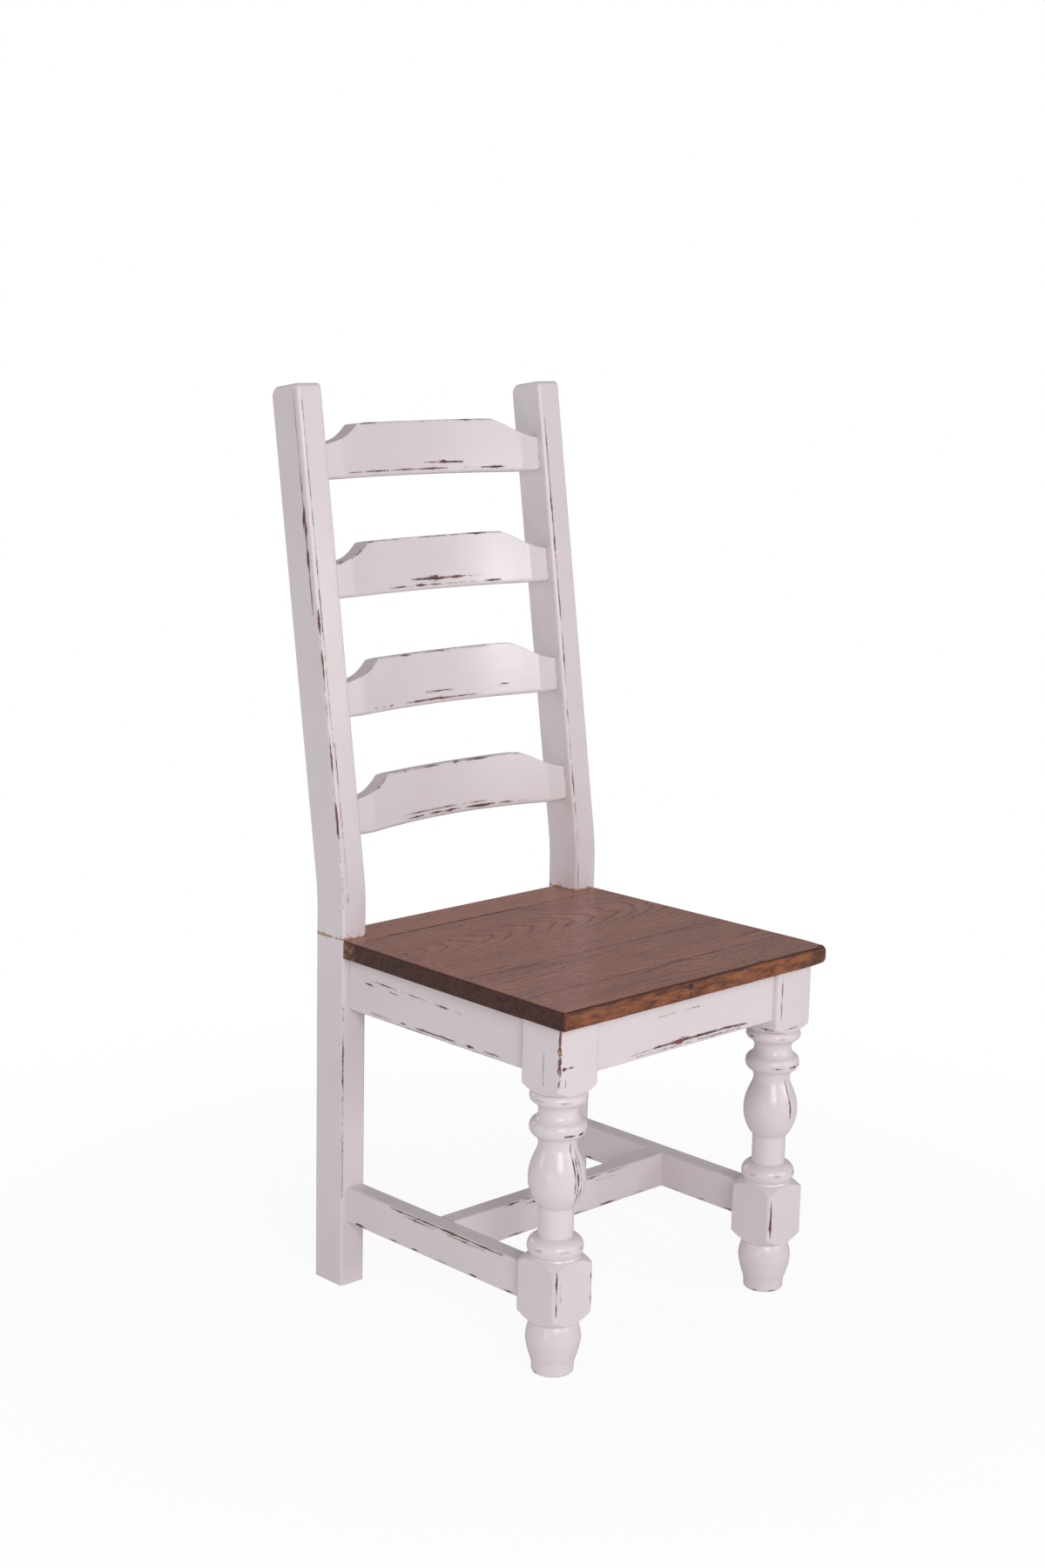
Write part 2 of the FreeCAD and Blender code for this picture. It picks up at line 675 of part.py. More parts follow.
def stretchers():
    """The H of rails near the floor."""
    thickness = size["stretcher_thickness"]
    shared = (thickness, size["stretcher_bottom"], size["stretcher_height"], stretcher_tenon)
    edge_round = size["stretcher_edge_round"]
    side_rail = post_front - size["leg_block"]
    middle = size["leg_block"] + side_rail / 2
    cross_middle = size["cross_stretcher_place"] + thickness / 2

    def every(level):
        return True

    for side in (LEFT, RIGHT):
        body = rail(
            "side_stretcher_" + SIDE_NAMES[side],
            (side * stretcher_middle, leg_front + middle, 0),
            side_rail, *shared, size["tenon_length"], edge_round, every, turn=90,
        )
        slot = new_sketch(body, "XZ_Plane", lift=-side * thickness / 2)
        mortise(slot, cross_middle - middle, stretcher_tenon)
        pocket(body, slot, size["cross_tenon_length"] + size["glue_gap"], backward=side == RIGHT)
    rail(
        "cross_stretcher",
        (0, leg_front + cross_middle, 0),
        2 * stretcher_inner, *shared, size["cross_tenon_length"], edge_round, every,
    )


def slats():
    """Four bowed slats with notched ends, square to the raked posts."""
    names = ("slat_bottom", "slat_lower", "slat_upper", "slat_top")
    front = size["slat_setback"]
    back = front + size["slat_thickness"]
    flat = post_inner - size["slat_land"]
    height = size["slat_height"]
    bulge = size["slat_bow"] / (2 * flat)
    for number, name in enumerate(names):
        along = size["lowest_slat"] + number * size["slat_pitch"]
        place = (
            0,
            leg_front + post_front + along * sine(rake),
            size["bend_height"] + along * cosine(rake),
        )
        body = new_body(name, place, turn_axis=Vector(1, 0, 0), turn=-rake)
        plan = new_sketch(body, "XY_Plane")
        outline(
            plan,
            (-post_inner, front),
            (-flat, front, -bulge),
            (flat, front),
            (post_inner, front),
            (post_inner, back),
            (flat, back, bulge),
            (-flat, back),
            (-post_inner, back),
        )
        pad(body, plan, height)
        corner = post_inner - size["notch_length"]
        knee = post_inner - size["notch_knee"]
        notches = new_sketch(body, "XZ_Plane")
        above = height + size["notch_overcut"]
        overcut = post_inner + size["notch_overcut"]
        for side in (LEFT, RIGHT):
            outline(
                notches,
                (side * corner, height),
                (side * knee, height - size["notch_knee_drop"], side * size["notch_hollow"]),
                (side * post_inner, height - size["notch_drop"]),
                (side * overcut, height - size["notch_drop"]),
                (side * overcut, above),
                (side * corner, above),
            )
        pocket(body, notches, both_ways=True)
        for side in (LEFT, RIGHT):
            tongue = new_sketch(body, "YZ_Plane", lift=side * post_inner)
            middle = front + size["slat_thickness"] / 2
            half_tenon = size["tenon_thickness"] / 2
            bottom = size["slat_tenon_shoulder"]
            rectangle(tongue, middle - half_tenon, middle + half_tenon, bottom, bottom + size["slat_tenon_height"])
            pad(body, tongue, size["tenon_length"], backward=side == LEFT)


def seat_boards():
    """Four boards, glued edge to edge, with their grain across the chair."""
    front = -size["seat_front_overhang"]
    first_joint = front + size["front_board_width"]
    second_joint = first_joint + size["second_board_width"]
    rear = size["frame_depth"] - size["seat_rear_inset"]
    third_joint = rear - size["rear_board_width"]
    notch_front = post_front - size["post_notch_clearance"]
    notch_side = post_inner - size["post_notch_clearance"]
    wide = half_width + size["seat_side_overhang"]
    narrow = half_width + size["seat_post_overhang"]
    slope = (wide - narrow) / (notch_front - front)
    corner = size["seat_corner_round"]

    def half_at(level):
        return wide - (level - front) * slope

    def straight_board(start, stop):
        return ((-half_at(start), start), (half_at(start), start), (half_at(stop), stop), (-half_at(stop), stop))

    front_board = (
        (-half_at(first_joint), first_joint),
        (-half_at(front + corner), front + corner, quarter_round),
        (corner - wide, front),
        (wide - corner, front, quarter_round),
        (half_at(front + corner), front + corner),
        (half_at(first_joint), first_joint),
    )
    rear_board = (
        (-half_at(third_joint), third_joint),
        (half_at(third_joint), third_joint),
        (narrow, notch_front),
        (notch_side, notch_front),
        (notch_side, rear),
        (-notch_side, rear),
        (-notch_side, notch_front),
        (-narrow, notch_front),
    )
    boards = {
        "seat_board_front": front_board,
        "seat_board_second": straight_board(first_joint, second_joint),
        "seat_board_wide": straight_board(second_joint, third_joint),
        "seat_board_rear": rear_board,
    }
    joints = [first_joint.value, second_joint.value, third_joint.value]
    top = size["seat_thickness"].value
    notch = (notch_side.value, notch_front.value)

    def outer_edge(edge):
        points = ends_of(edge)
        on_top = all(near(point.z, top) for point in points)
        levels = [point.y for point in points]
        on_joint = any(all(near(level, joint) for level in levels) for joint in joints)
        in_notch = all(abs(point.x) < notch[0] + 15 or point.y > notch[1] - 0.01 for point in points)
        in_notch = in_notch and not all(near(level, rear.value) for level in levels)
        at_notch = in_notch and all(point.y > notch[1] - 0.01 for point in points)
        return on_top and not on_joint and not at_notch

    drilled = {"seat_board_second": FRONT, "seat_board_rear": REAR}
    for name, corners in boards.items():
        body = new_body(name, (0, leg_front, seat_under))
        plan = new_sketch(body, "XY_Plane")
        outline(plan, *corners)
        pad(body, plan, size["seat_thickness"])
        round_edges(body, size["seat_edge_round"], outer_edge)
        if name in drilled:
            holes = new_sketch(body, "XY_Plane")
            for side in (LEFT, RIGHT):
                circle(holes, *seat_screw_place(side, drilled[name]), screw_hole)
            pocket(body, holes, size["seat_screw_bite"] + size["glue_gap"], backward=True)


def corner_block(side, end):
    """A block in one corner of the frame, cut to fit round the leg or the post."""
    across, along = corner_places[end]
    gap_across, gap_along = block_gaps[end]
    reach = size[END_NAMES[end] + "_block_reach"]
    name = "corner_block_" + END_NAMES[end] + "_" + SIDE_NAMES[side]
    body = new_body(name, (side * across, leg_front + along, 0))
    plan = new_sketch(body, "XY_Plane", lift=seat_under - size["corner_block_height"])
    outline(
        plan,
        (0, 0),
        (side * gap_across, 0),
        (side * gap_across, end * reach),
        (-side * reach, -end * gap_along),
        (0, -end * gap_along),
    )
    pad(body, plan, size["corner_block_height"])
    corner = (as_size(0), as_size(0))
    pocket(body, corner_hole(body, side, end, corner, as_size(0), screw_hole), both_ways=True)
    grip = size["corner_screw_grip"]
    pocket(body, corner_hole(body, side, end, corner, grip, size["counterbore_diameter"]), backward=True)
    screw_across, screw_along = seat_screw_place(side, end)
    hole = new_sketch(body, "XY_Plane", lift=seat_under)
    circle(hole, screw_across - side * across, screw_along - along, screw_hole)
    pocket(body, hole)


def screw(name, place, direction, length):
    """One wood screw: head, shank and point, its head's underside at the place."""
    radius = size["screw_diameter"] / 2
    point = size["screw_diameter"]
    head = doc.addObject("Part::Cylinder", name + "_head")
    bind(head, "Radius", size["screw_head_diameter"] / 2)
    bind(head, "Height", size["screw_head_height"])
    bind(head, ".Placement.Base.z", -size["screw_head_height"])
    shank = doc.addObject("Part::Cylinder", name + "_shank")
    bind(shank, "Radius", radius)
    bind(shank, "Height", length - point)
    tip = doc.addObject("Part::Cone", name + "_tip")
    bind(tip, "Radius1", radius)
    bind(tip, "Radius2", size["screw_point_radius"])
    bind(tip, "Height", point)
    bind(tip, ".Placement.Base.z", length - point)
    whole = doc.addObject("Part::MultiFuse", name)
    whole.Shapes = [head, shank, tip]
    x, y, z = [as_size(part) for part in place]
    whole.Placement = Placement(Vector(x.value, y.value, z.value), Rotation(Vector(0, 0, 1), direction))
    bind(whole, ".Placement.Base.x", x)
    bind(whole, ".Placement.Base.y", y)
    bind(whole, ".Placement.Base.z", z)
    return whole


def screws():
    """The screws of the corner blocks, and those that hold the seat down."""
    corner_screws = []
    seat_screws = []
    grip = size["corner_screw_grip"]
    step = grip / math.sqrt(2)
    for end in (FRONT, REAR):
        for side in (LEFT, RIGHT):
            across, along = corner_places[end]
            name = END_NAMES[end] + "_" + SIDE_NAMES[side]
            head = (side * (across - step), leg_front + along + end * step, corner_screw_height)
            length = grip + size["corner_screw_depth"]
            corner_screws.append(screw("corner_screw_" + name, head, Vector(side, -end, 0), length))
            screw_across, screw_along = seat_screw_place(side, end)
            foot = (screw_across, leg_front + screw_along, seat_under - size["corner_block_height"])
            length = size["corner_block_height"] + size["seat_screw_bite"]
            seat_screws.append(screw("seat_screw_" + name, foot, Vector(0, 0, 1), length))
    for label, group in (("corner_block_screws", corner_screws), ("seat_screws", seat_screws)):
        compound = doc.addObject("Part::Compound", label)
        compound.Label = label
        compound.Links = group
        pieces.append(compound)


for side in (LEFT, RIGHT):
    rear_post(side)
    front_leg(side)
aprons()
stretchers()
slats()
seat_boards()
for end in (FRONT, REAR):
    for side in (LEFT, RIGHT):
        corner_block(side, end)
screws()

doc.recompute()
for item in doc.Objects:
    if "Invalid" in item.State or "Error" in item.State:
        raise RuntimeError(item.Label + " is not valid: " + str(item.State))
for piece in pieces:
    if piece.Shape.isNull() or not piece.Shape.isValid():
        raise RuntimeError(piece.Label + " has no valid shape")

os.makedirs("parts", exist_ok=True)
for piece in pieces:
    piece.Shape.exportStep(os.path.join("parts", piece.Label + ".step"))
    print(piece.Label, round(piece.Shape.Volume), piece.Shape.BoundBox)
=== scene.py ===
"""The looks of a ladder-back chair: worn gloss paint on its frame, and a varnished plank seat.

Patterns are measured in millimetres from the chair's origin, on the floor under its middle.
The chair faces -Y, and left and right are as seen from its front.
"""

import math
import random

import bmesh
import bpy
from bpy.props import FloatProperty, FloatVectorProperty, PointerProperty
from mathutils import Matrix, Vector


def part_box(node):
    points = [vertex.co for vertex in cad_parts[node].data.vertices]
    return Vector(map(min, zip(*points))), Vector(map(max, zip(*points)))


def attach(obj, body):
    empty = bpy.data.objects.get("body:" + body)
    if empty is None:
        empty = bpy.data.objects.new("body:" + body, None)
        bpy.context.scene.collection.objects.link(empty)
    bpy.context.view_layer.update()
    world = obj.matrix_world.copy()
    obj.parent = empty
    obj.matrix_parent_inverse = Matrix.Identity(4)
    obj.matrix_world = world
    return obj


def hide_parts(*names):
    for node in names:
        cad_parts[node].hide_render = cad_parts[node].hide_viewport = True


bl_info = {
    "name": "Ladder-back chair",
    "version": (1, 0, 0),
    "blender": (4, 5, 0),
    "location": "View3D > Sidebar > Chair",
    "description": "Paints, varnishes and lights a ladder-back chair",
    "category": "Object",
}

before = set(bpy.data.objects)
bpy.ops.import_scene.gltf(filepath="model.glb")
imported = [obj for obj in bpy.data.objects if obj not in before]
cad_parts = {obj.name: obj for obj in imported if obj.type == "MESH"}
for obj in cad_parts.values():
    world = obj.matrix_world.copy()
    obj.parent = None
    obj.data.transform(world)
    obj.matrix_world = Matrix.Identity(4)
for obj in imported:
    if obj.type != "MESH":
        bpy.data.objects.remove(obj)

LEFT = -1
RIGHT = 1
SIDE_NAMES = {LEFT: "left", RIGHT: "right"}
MILLIMETRE = 0.001


def low_and_high(node):
    """The lowest and highest corner of a node, in millimetres."""
    low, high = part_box(node)
    return low / MILLIMETRE, high / MILLIMETRE


# Places on the chair that patterns refer to, in millimetres.
post_low, post_high = low_and_high("rear_post_right")
leg_low, leg_high = low_and_high("front_leg_right")
POST_INNER = post_low.x
POST_OUTER = post_high.x
POST_FRONT = post_low.y
SEAT_TOP = low_and_high("seat_board_wide")[1].z
SEAT_UNDER = leg_high.z
LEG_MIDDLE = ((leg_low.x + leg_high.x) / 2, (leg_low.y + leg_high.y) / 2)
RAKE = math.radians(8.6)
BEND_HEIGHT = 518
LEG_HALF = 32.5
POST_DEPTH = 54


class Amount:
    """A number on a material's wires. Sums written with it add Math nodes."""

    def __init__(self, finish, socket):
        self.finish = finish
        self.socket = socket

    def worked(self, operation, *others):
        terms = dict(enumerate((self, *others)))
        node = self.finish.add("ShaderNodeMath", {"operation": operation}, terms)
        return Amount(self.finish, node.outputs[0])

    def __add__(self, other):
        return self.worked("ADD", other)

    __radd__ = __add__

    def __sub__(self, other):
        return self.worked("SUBTRACT", other)

    def __rsub__(self, other):
        return self * -1 + other

    def __mul__(self, other):
        return self.worked("MULTIPLY", other)

    __rmul__ = __mul__

    def __truediv__(self, other):
        return self.worked("DIVIDE", other)

    def __rtruediv__(self, other):
        return self.worked("POWER", -1) * other

    def __neg__(self):
        return self * -1

    def __abs__(self):
        return self.worked("ABSOLUTE")

    def over(self, limit):
        return self.worked("GREATER_THAN", limit)

    def at_least(self, other):
        return self.worked("MAXIMUM", other)

    def at_most(self, other):
        return self.worked("MINIMUM", other)

    def part_of_turn(self):
        return self.worked("FRACT")

    def eased(self, low, high):
        """Runs smoothly from 0 at the low limit to 1 at the high one."""
        settings = {"interpolation_type": "SMOOTHSTEP"}
        node = self.finish.add("ShaderNodeMapRange", settings, {0: self, 1: low, 2: high})
        return Amount(self.finish, node.outputs[0])


def distance(first, second):
    """The distance of a point that is this far off in two ways."""
    return (first * first + second * second).worked("SQRT")


class Finish:
    """A material or a world, and short ways to add its nodes."""

    def __init__(self, name, world=None):
        self.material = world or bpy.data.materials.new(name)
        self.material.use_nodes = True
        self.nodes = self.material.node_tree.nodes
        self.links = self.material.node_tree.links
        self.nodes.clear()
        self.ragged = self.wander = None

    def add(self, kind, settings=None, inputs=None):
        """Adds a node, with its settings and the values or links of its sockets."""
        node = self.nodes.new(kind)
        for name, value in (settings or {}).items():
            if name == "stops":
                self.set_stops(node.color_ramp, value)
            else:
                setattr(node, name, value)
        for name, value in (inputs or {}).items():
            if isinstance(value, Amount):
                self.links.new(value.socket, node.inputs[name])
            elif isinstance(value, bpy.types.NodeSocket):
                self.links.new(value, node.inputs[name])
            else:
                node.inputs[name].default_value = value
        return node

    def set_stops(self, ramp, stops):
        """Gives a ramp its stops: pairs of a place and a grey or a colour."""
        while len(ramp.elements) < len(stops):
            ramp.elements.new(1)
        for element, (place, colour) in zip(ramp.elements, stops):
            element.position = place
            element.color = (*colour, 1) if isinstance(colour, tuple) else (colour, colour, colour, 1)

    def place(self):
        """The place on the chair, in millimetres."""
        texture = self.add("ShaderNodeTexCoord")
        settings = {"operation": "SCALE"}
        node = self.add("ShaderNodeVectorMath", settings, {0: texture.outputs["Object"], "Scale": 1000})
        return node.outputs[0]

    def facing(self):
        """The three parts of the way that the surface faces."""
        texture = self.add("ShaderNodeTexCoord")
        return self.split(texture.outputs["Normal"])

    def split(self, vector):
        node = self.add("ShaderNodeSeparateXYZ", None, {0: vector})
        return [Amount(self, socket) for socket in node.outputs]

    def join(self, x, y, z):
        return self.add("ShaderNodeCombineXYZ", None, {0: x, 1: y, 2: z}).outputs[0]

    def stretch(self, vector, size, shift=(0, 0, 0)):
        """Makes a pattern larger by these factors, and moves it."""
        share = tuple(1 / part for part in size)
        inputs = {"Vector": vector, "Scale": share, "Location": shift}
        return self.add("ShaderNodeMapping", None, inputs).outputs[0]

    def noise(self, vector, detail=2, roughness=0.5, distortion=0):
        """Soft noise about one unit across, from 0 to 1."""
        inputs = {
            "Vector": vector, "Scale": 1, "Detail": detail, "Roughness": roughness, "Distortion": distortion,
        }
        return Amount(self, self.add("ShaderNodeTexNoise", None, inputs).outputs[0])

    def profile(self, amount, stops):
        """Turns an amount from 0 to 1 into another by a list of stops."""
        return Amount(self, self.add("ShaderNodeValToRGB", {"stops": stops}, {0: amount}).outputs[0])

    def mix(self, share, first, second):
        """The first colour, with this share of the second one."""
        settings = {"data_type": "RGBA"}
        first, second = [self.whole(colour) for colour in (first, second)]
        return self.add("ShaderNodeMix", settings, {0: share, 6: first, 7: second}).outputs[2]

    def whole(self, colour):
        return colour if isinstance(colour, bpy.types.NodeSocket) else (*colour[:3], 1)

    def cover(self, colour, roughness, relief, **plain):
        """Ends the material: its colour, roughness, and relief in millimetres."""
        bump = self.add("ShaderNodeBump", None, {"Height": relief, "Distance": MILLIMETRE, "Strength": 1})
        inputs = {"Base Color": self.whole(colour), "Roughness": roughness, "Normal": bump.outputs[0]}
        inputs.update({name.replace("_", " "): value for name, value in plain.items()})
        shader = self.add("ShaderNodeBsdfPrincipled", None, inputs)
        self.add("ShaderNodeOutputMaterial", None, {"Surface": shader.outputs[0]})
        return self.material


class ChairPaint(bpy.types.PropertyGroup):
    """The paint of the frame, and the wood that shows where it is worn."""

    fresh: FloatVectorProperty(
        name="Paint", description="Colour of the sound paint", subtype="COLOR", default=(0.765, 0.69, 0.725))
    aged: FloatVectorProperty(
        name="Aged paint", description="Colour of the paint where it has yellowed", subtype="COLOR",
        default=(0.72, 0.63, 0.63))
    bare_dark: FloatVectorProperty(
        name="Dark wood", description="Darkest wood under the paint", subtype="COLOR",
        default=(0.07, 0.038, 0.038))
    bare_red: FloatVectorProperty(
        name="Red wood", description="Reddest wood under the paint", subtype="COLOR",
        default=(0.2, 0.062, 0.045))
    raw: FloatVectorProperty(
        name="Raw wood", description="Freshly broken wood", subtype="COLOR", default=(0.42, 0.22, 0.08))
    # Besides real stains, this colour paints shade on the left-facing scoop surfaces of the slats.
    stain: FloatVectorProperty(
        name="Stain", description="Wood stain smeared on the paint beside the seat", subtype="COLOR",
        default=(0.34, 0.17, 0.07))
    roughness: FloatProperty(
        name="Roughness", description="Roughness of the sound paint", subtype="FACTOR", default=0.2)
    depth: FloatProperty(
        name="Depth", description="Thickness of the paint that is worn through, in millimetres",
        default=0.35)


class ChairSeat(bpy.types.PropertyGroup):
    """The stained and varnished wood of the seat."""

    light: FloatVectorProperty(
        name="Early wood", description="Lightest wood of the seat", subtype="COLOR",
        default=(0.435, 0.17, 0.115))
    dark: FloatVectorProperty(
        name="Late wood", description="Dark lines of the grain", subtype="COLOR",
        default=(0.105, 0.037, 0.031))
    edge: FloatVectorProperty(
        name="Front edge", description="Wood of the seat's front edge", subtype="COLOR",
        default=(0.30, 0.097, 0.036))
    end: FloatVectorProperty(
        name="End grain", description="Wood of the seat's left and right edges", subtype="COLOR",
        default=(0.026, 0.007, 0.006))
    gloss: FloatProperty(
        name="Varnish roughness", description="Roughness of the varnish", subtype="FACTOR", default=0.26)


class ChairStage(bpy.types.PropertyGroup):
    """The floor, the lamps and the camera."""

    floor: FloatVectorProperty(
        name="Floor", description="Colour of the floor", subtype="COLOR", default=(0.93, 0.93, 0.93))
    key: FloatProperty(
        name="Key lamp", description="Strength of the large lamp at the front", default=56, unit="POWER")
    side: FloatProperty(
        name="Side lamp", description="Strength of the lamp at the left", default=7.5, unit="POWER")
    front: FloatProperty(
        name="Front lamp", description="Strength of the lamp at the front", default=20, unit="POWER")
    spark: FloatProperty(
        name="Highlight lamp", description="Strength of the small lamp at the front right",
        default=11, unit="POWER")
    rear: FloatProperty(
        name="Rear lamp", description="Strength of the lamp behind", default=24, unit="POWER")
    low: FloatProperty(
        name="Low lamp", description="Strength of the lamp low at the left", default=5, unit="POWER")
    sky: FloatProperty(name="Sky", description="Strength of the even light from all round", default=0.34)
    lens: FloatProperty(name="Lens", description="Focal length of the camera", default=55.05)


# Worn lines, in millimetres: the widest half width, the half width at their ends, and how far
# sound paint is from showing wood.
WIDEST = 8
HAIRLINE = 0.15
SOUND = 4


def worn_line(finish, along, away, marks):
    """How far a point lies inside the worn places of a line, in millimetres.

    Marks are (from, to, half width) in rising order, six at most. Each tapers to a hairline at its
    ends, or runs on into the mark that begins where it ends.
    """
    low = marks[0][0] - 2
    high = marks[-1][1] + 2
    points = {}
    last_stop = None
    last_width = 0
    for start, stop, width in marks:
        if start == last_stop:
            points[start] = min(width, last_width) / 2
            points.pop(start + 1)
        else:
            points[start - 1] = -SOUND
            points[start] = HAIRLINE
        points[(start + stop) / 2] = width
        points[stop] = HAIRLINE
        points[stop + 1] = -SOUND
        last_stop, last_width = stop, width
    span = WIDEST + SOUND
    profile = [
        ((place - low) / (high - low), (width + SOUND) / span) for place, width in sorted(points.items())]
    half = finish.profile((along - low) / (high - low), profile) * span - SOUND
    return half + half.at_least(0) * (finish.ragged - 1) - abs(away + finish.wander)


def random_marks(seed, low, high, count, widest):
    """Worn places strewn along a line, the same at each run."""
    chance = random.Random(seed)
    room = (high - low) / count
    marks = []
    for number in range(count):
        start = low + room * (number + chance.uniform(0.05, 0.45))
        marks.append((start, start + room * chance.uniform(0.2, 0.5), widest * chance.uniform(0.25, 1)))
    return marks


def painted(name, grain, worn_places, raw_places=None, stains_and_shade=None):
    """Gloss paint brushed along the grain, worn through where the worn places say.

    The last three arguments take the finish and the place's three parts. The first two
    of them return lists of distances inside a worn place, and the last a list of shares of the
    stain colour, for real stains and, on the slats' scoops, painted shade.
    """
    paint = bpy.context.scene.chair_paint
    finish = Finish(name)
    place = finish.place()
    x, y, z = finish.split(place)
    long_way = tuple(14 if axis == grain else 1 for axis in "xyz")
    coarse = finish.stretch(place, tuple(3.2 * min(part, 6) for part in long_way))
    fine = finish.stretch(place, tuple(0.8 * min(part, 5) for part in long_way))
    finish.ragged = (finish.noise(coarse, detail=5, roughness=0.65) * 4.4 - 1.2).at_least(0.1)
    finish.wander = (finish.noise(finish.stretch(place, (38, 38, 38)), detail=2) - 0.5) * 3.2
    specks = finish.noise(fine, detail=3, roughness=0.7)

    reach = None
    for found in worn_places(finish, x, y, z):
        reach = found if reach is None else reach.at_least(found)
    reach = reach + (specks - 0.5) * 1.6
    fray = finish.noise(finish.stretch(place, tuple(0.6 * part for part in long_way), (5, 2, 9)), detail=3)
    reach = reach.at_least(((fray - 0.62) * 12).at_most(reach + 1.3))
    worn = reach.eased(-0.05, 0.4)
    grime = reach.eased(-1.3, 0.4)

    cloud = finish.noise(finish.stretch(place, (90, 90, 90)), detail=3)
    colour = finish.mix(cloud.eased(0.35, 0.75) * 0.45, paint.fresh, paint.aged)
    colour = finish.mix(grime * 0.2, colour, paint.bare_red)
    # Stains, and painted shade on the slats' scoops, both in the stain colour.
    for share in stains_and_shade(finish, x, y, z) if stains_and_shade else ():
        colour = finish.mix(share, colour, paint.stain)
    wood_noise = finish.noise(
        finish.stretch(place, tuple(2.2 * part for part in long_way), (31, 7, 3)), detail=3)
    wood = finish.mix(wood_noise.eased(0.38, 0.62), paint.bare_dark, paint.bare_red)
    for found in raw_places(finish, x, y, z) if raw_places else ():
        raw = (found + (specks - 0.5) * 2).eased(0, 0.6)
        wood = finish.mix(raw, wood, paint.raw)
        worn = worn.at_least(raw)
    colour = finish.mix(worn, colour, wood)

    brushed = finish.noise(finish.stretch(place, tuple(2.4 * part for part in long_way)), detail=2)
    dimples = finish.noise(finish.stretch(place, (19, 19, 19)), detail=1)
    roughness = paint.roughness + brushed * 0.1 + worn * 0.3
    relief = brushed * 0.045 + dimples * 0.13 - worn * paint.depth
    return finish.cover(colour, roughness, relief)


def wear(node, material):
    """Puts a material on a node of the frame."""
    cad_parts[node].material_slots[0].material = material


def up_the_post(finish, y, z):
    """How far a point of a post lies behind its front face, below and above the bend."""
    raked = (y - POST_FRONT) * math.cos(RAKE) - (z - BEND_HEIGHT) * math.sin(RAKE)
    upright = y - POST_FRONT
    above = z.over(BEND_HEIGHT)
    return upright + (raked - upright) * above


# Worn lines of the posts: (from, to, half width), up from the floor.
LEFT_FACE = ((862, 915, 1.2), (915, 949, 1.8), (949, 1004, 3.3), (1004, 1040, 0.9), (1040, 1138, 0.5))
LEFT_EDGE = (
    (500, 552, 0.5), (558, 640, 1.3), (640, 721, 1.0), (730, 768, 0.5), (770, 838, 0.8), (838, 872, 1.7))
LEFT_FRONT = ((700, 800, 0.3), (807, 955, 0.45), (955, 1128, 0.4))
LEFT_FRONT_LOW = ((506, 521, 1.3), (526, 596, 0.4), (600, 708, 0.4))
RIGHT_FRONT = ((740, 812, 0.5), (828, 905, 0.8), (905, 955, 0.9), (955, 1010, 1.4), (1010, 1100, 0.4))
RIGHT_FRONT_LOW = (
    (465, 500, 0.6), (520, 548, 0.5), (556, 584, 0.6), (590, 634, 0.9), (640, 680, 0.5), (690, 724, 0.7))


def rear_post(side):
    """Paint of one rear post."""
    name = "rear_post_" + SIDE_NAMES[side]

    def worn_places(finish, x, y, z):
        behind = up_the_post(finish, y, z)
        from_outer = POST_OUTER - x * side
        from_inner = x * side - POST_INNER
        outer_front = distance(behind, from_outer)
        places = []
        if side == LEFT:
            places += [
                worn_line(finish, z, distance(behind - 10, from_outer), LEFT_FACE),
                worn_line(finish, z, distance(behind - 1, from_outer - 1), LEFT_EDGE),
                worn_line(finish, z, distance(behind, from_outer - 5), LEFT_FRONT),
                worn_line(finish, z, distance(behind, from_outer - 7.5), LEFT_FRONT_LOW),
                worn_line(
                    finish, z, distance(behind - 1, from_outer - 1.5), ((120, 190, 0.4), (190, 372, 0.8))),
            ]
        else:
            places += [
                worn_line(finish, z, distance(behind, from_inner - 6), RIGHT_FRONT),
                worn_line(finish, z, distance(behind, from_inner - 4), RIGHT_FRONT_LOW),
                worn_line(finish, z, outer_front, random_marks(5, 480, 1120, 6, 1.1)),
                worn_line(finish, z, outer_front, random_marks(6, 20, 430, 4, 1.6)),
            ]
        rear_outer = distance(behind - POST_DEPTH, from_outer)
        rear_inner = distance(behind - POST_DEPTH, from_inner)
        places += [
            worn_line(finish, z, rear_outer, random_marks(21 + side, 30, 1120, 6, 2.2)),
            worn_line(finish, z, rear_inner, random_marks(31 + side, 30, 1120, 6, 1.8)),
            worn_line(finish, z, distance(behind, from_inner), random_marks(41 + side, 20, 440, 4, 1.0)),
        ]
        return places

    def stains_and_shade(finish, x, y, z):
        smear = finish.noise(finish.stretch(finish.join(x, y, z), (9, 9, 16), (side, 0, 0)), detail=2)
        height = (z - SEAT_TOP).at_least((SEAT_TOP - z) * 2)
        near_seat = 1 - height.eased(2, 34 if side == RIGHT else 14)
        line = (1.6 + (smear - 0.4) * 9 - height).eased(0, 1.2)
        drip = (1 - abs(smear - 0.56) / 0.02).eased(0, 1) * near_seat * 0.6
        return [line * 0.8, drip]

    wear(name, painted("paint_" + name, "z", worn_places, stains_and_shade=stains_and_shade))


class CHAIR_OT_rear_posts(bpy.types.Operator):
    """Paints the two rear posts"""

    bl_idname = "chair.rear_posts"
    bl_label = "Rear posts"

    def execute(self, context):
        for side in (LEFT, RIGHT):
            rear_post(side)
        return {"FINISHED"}


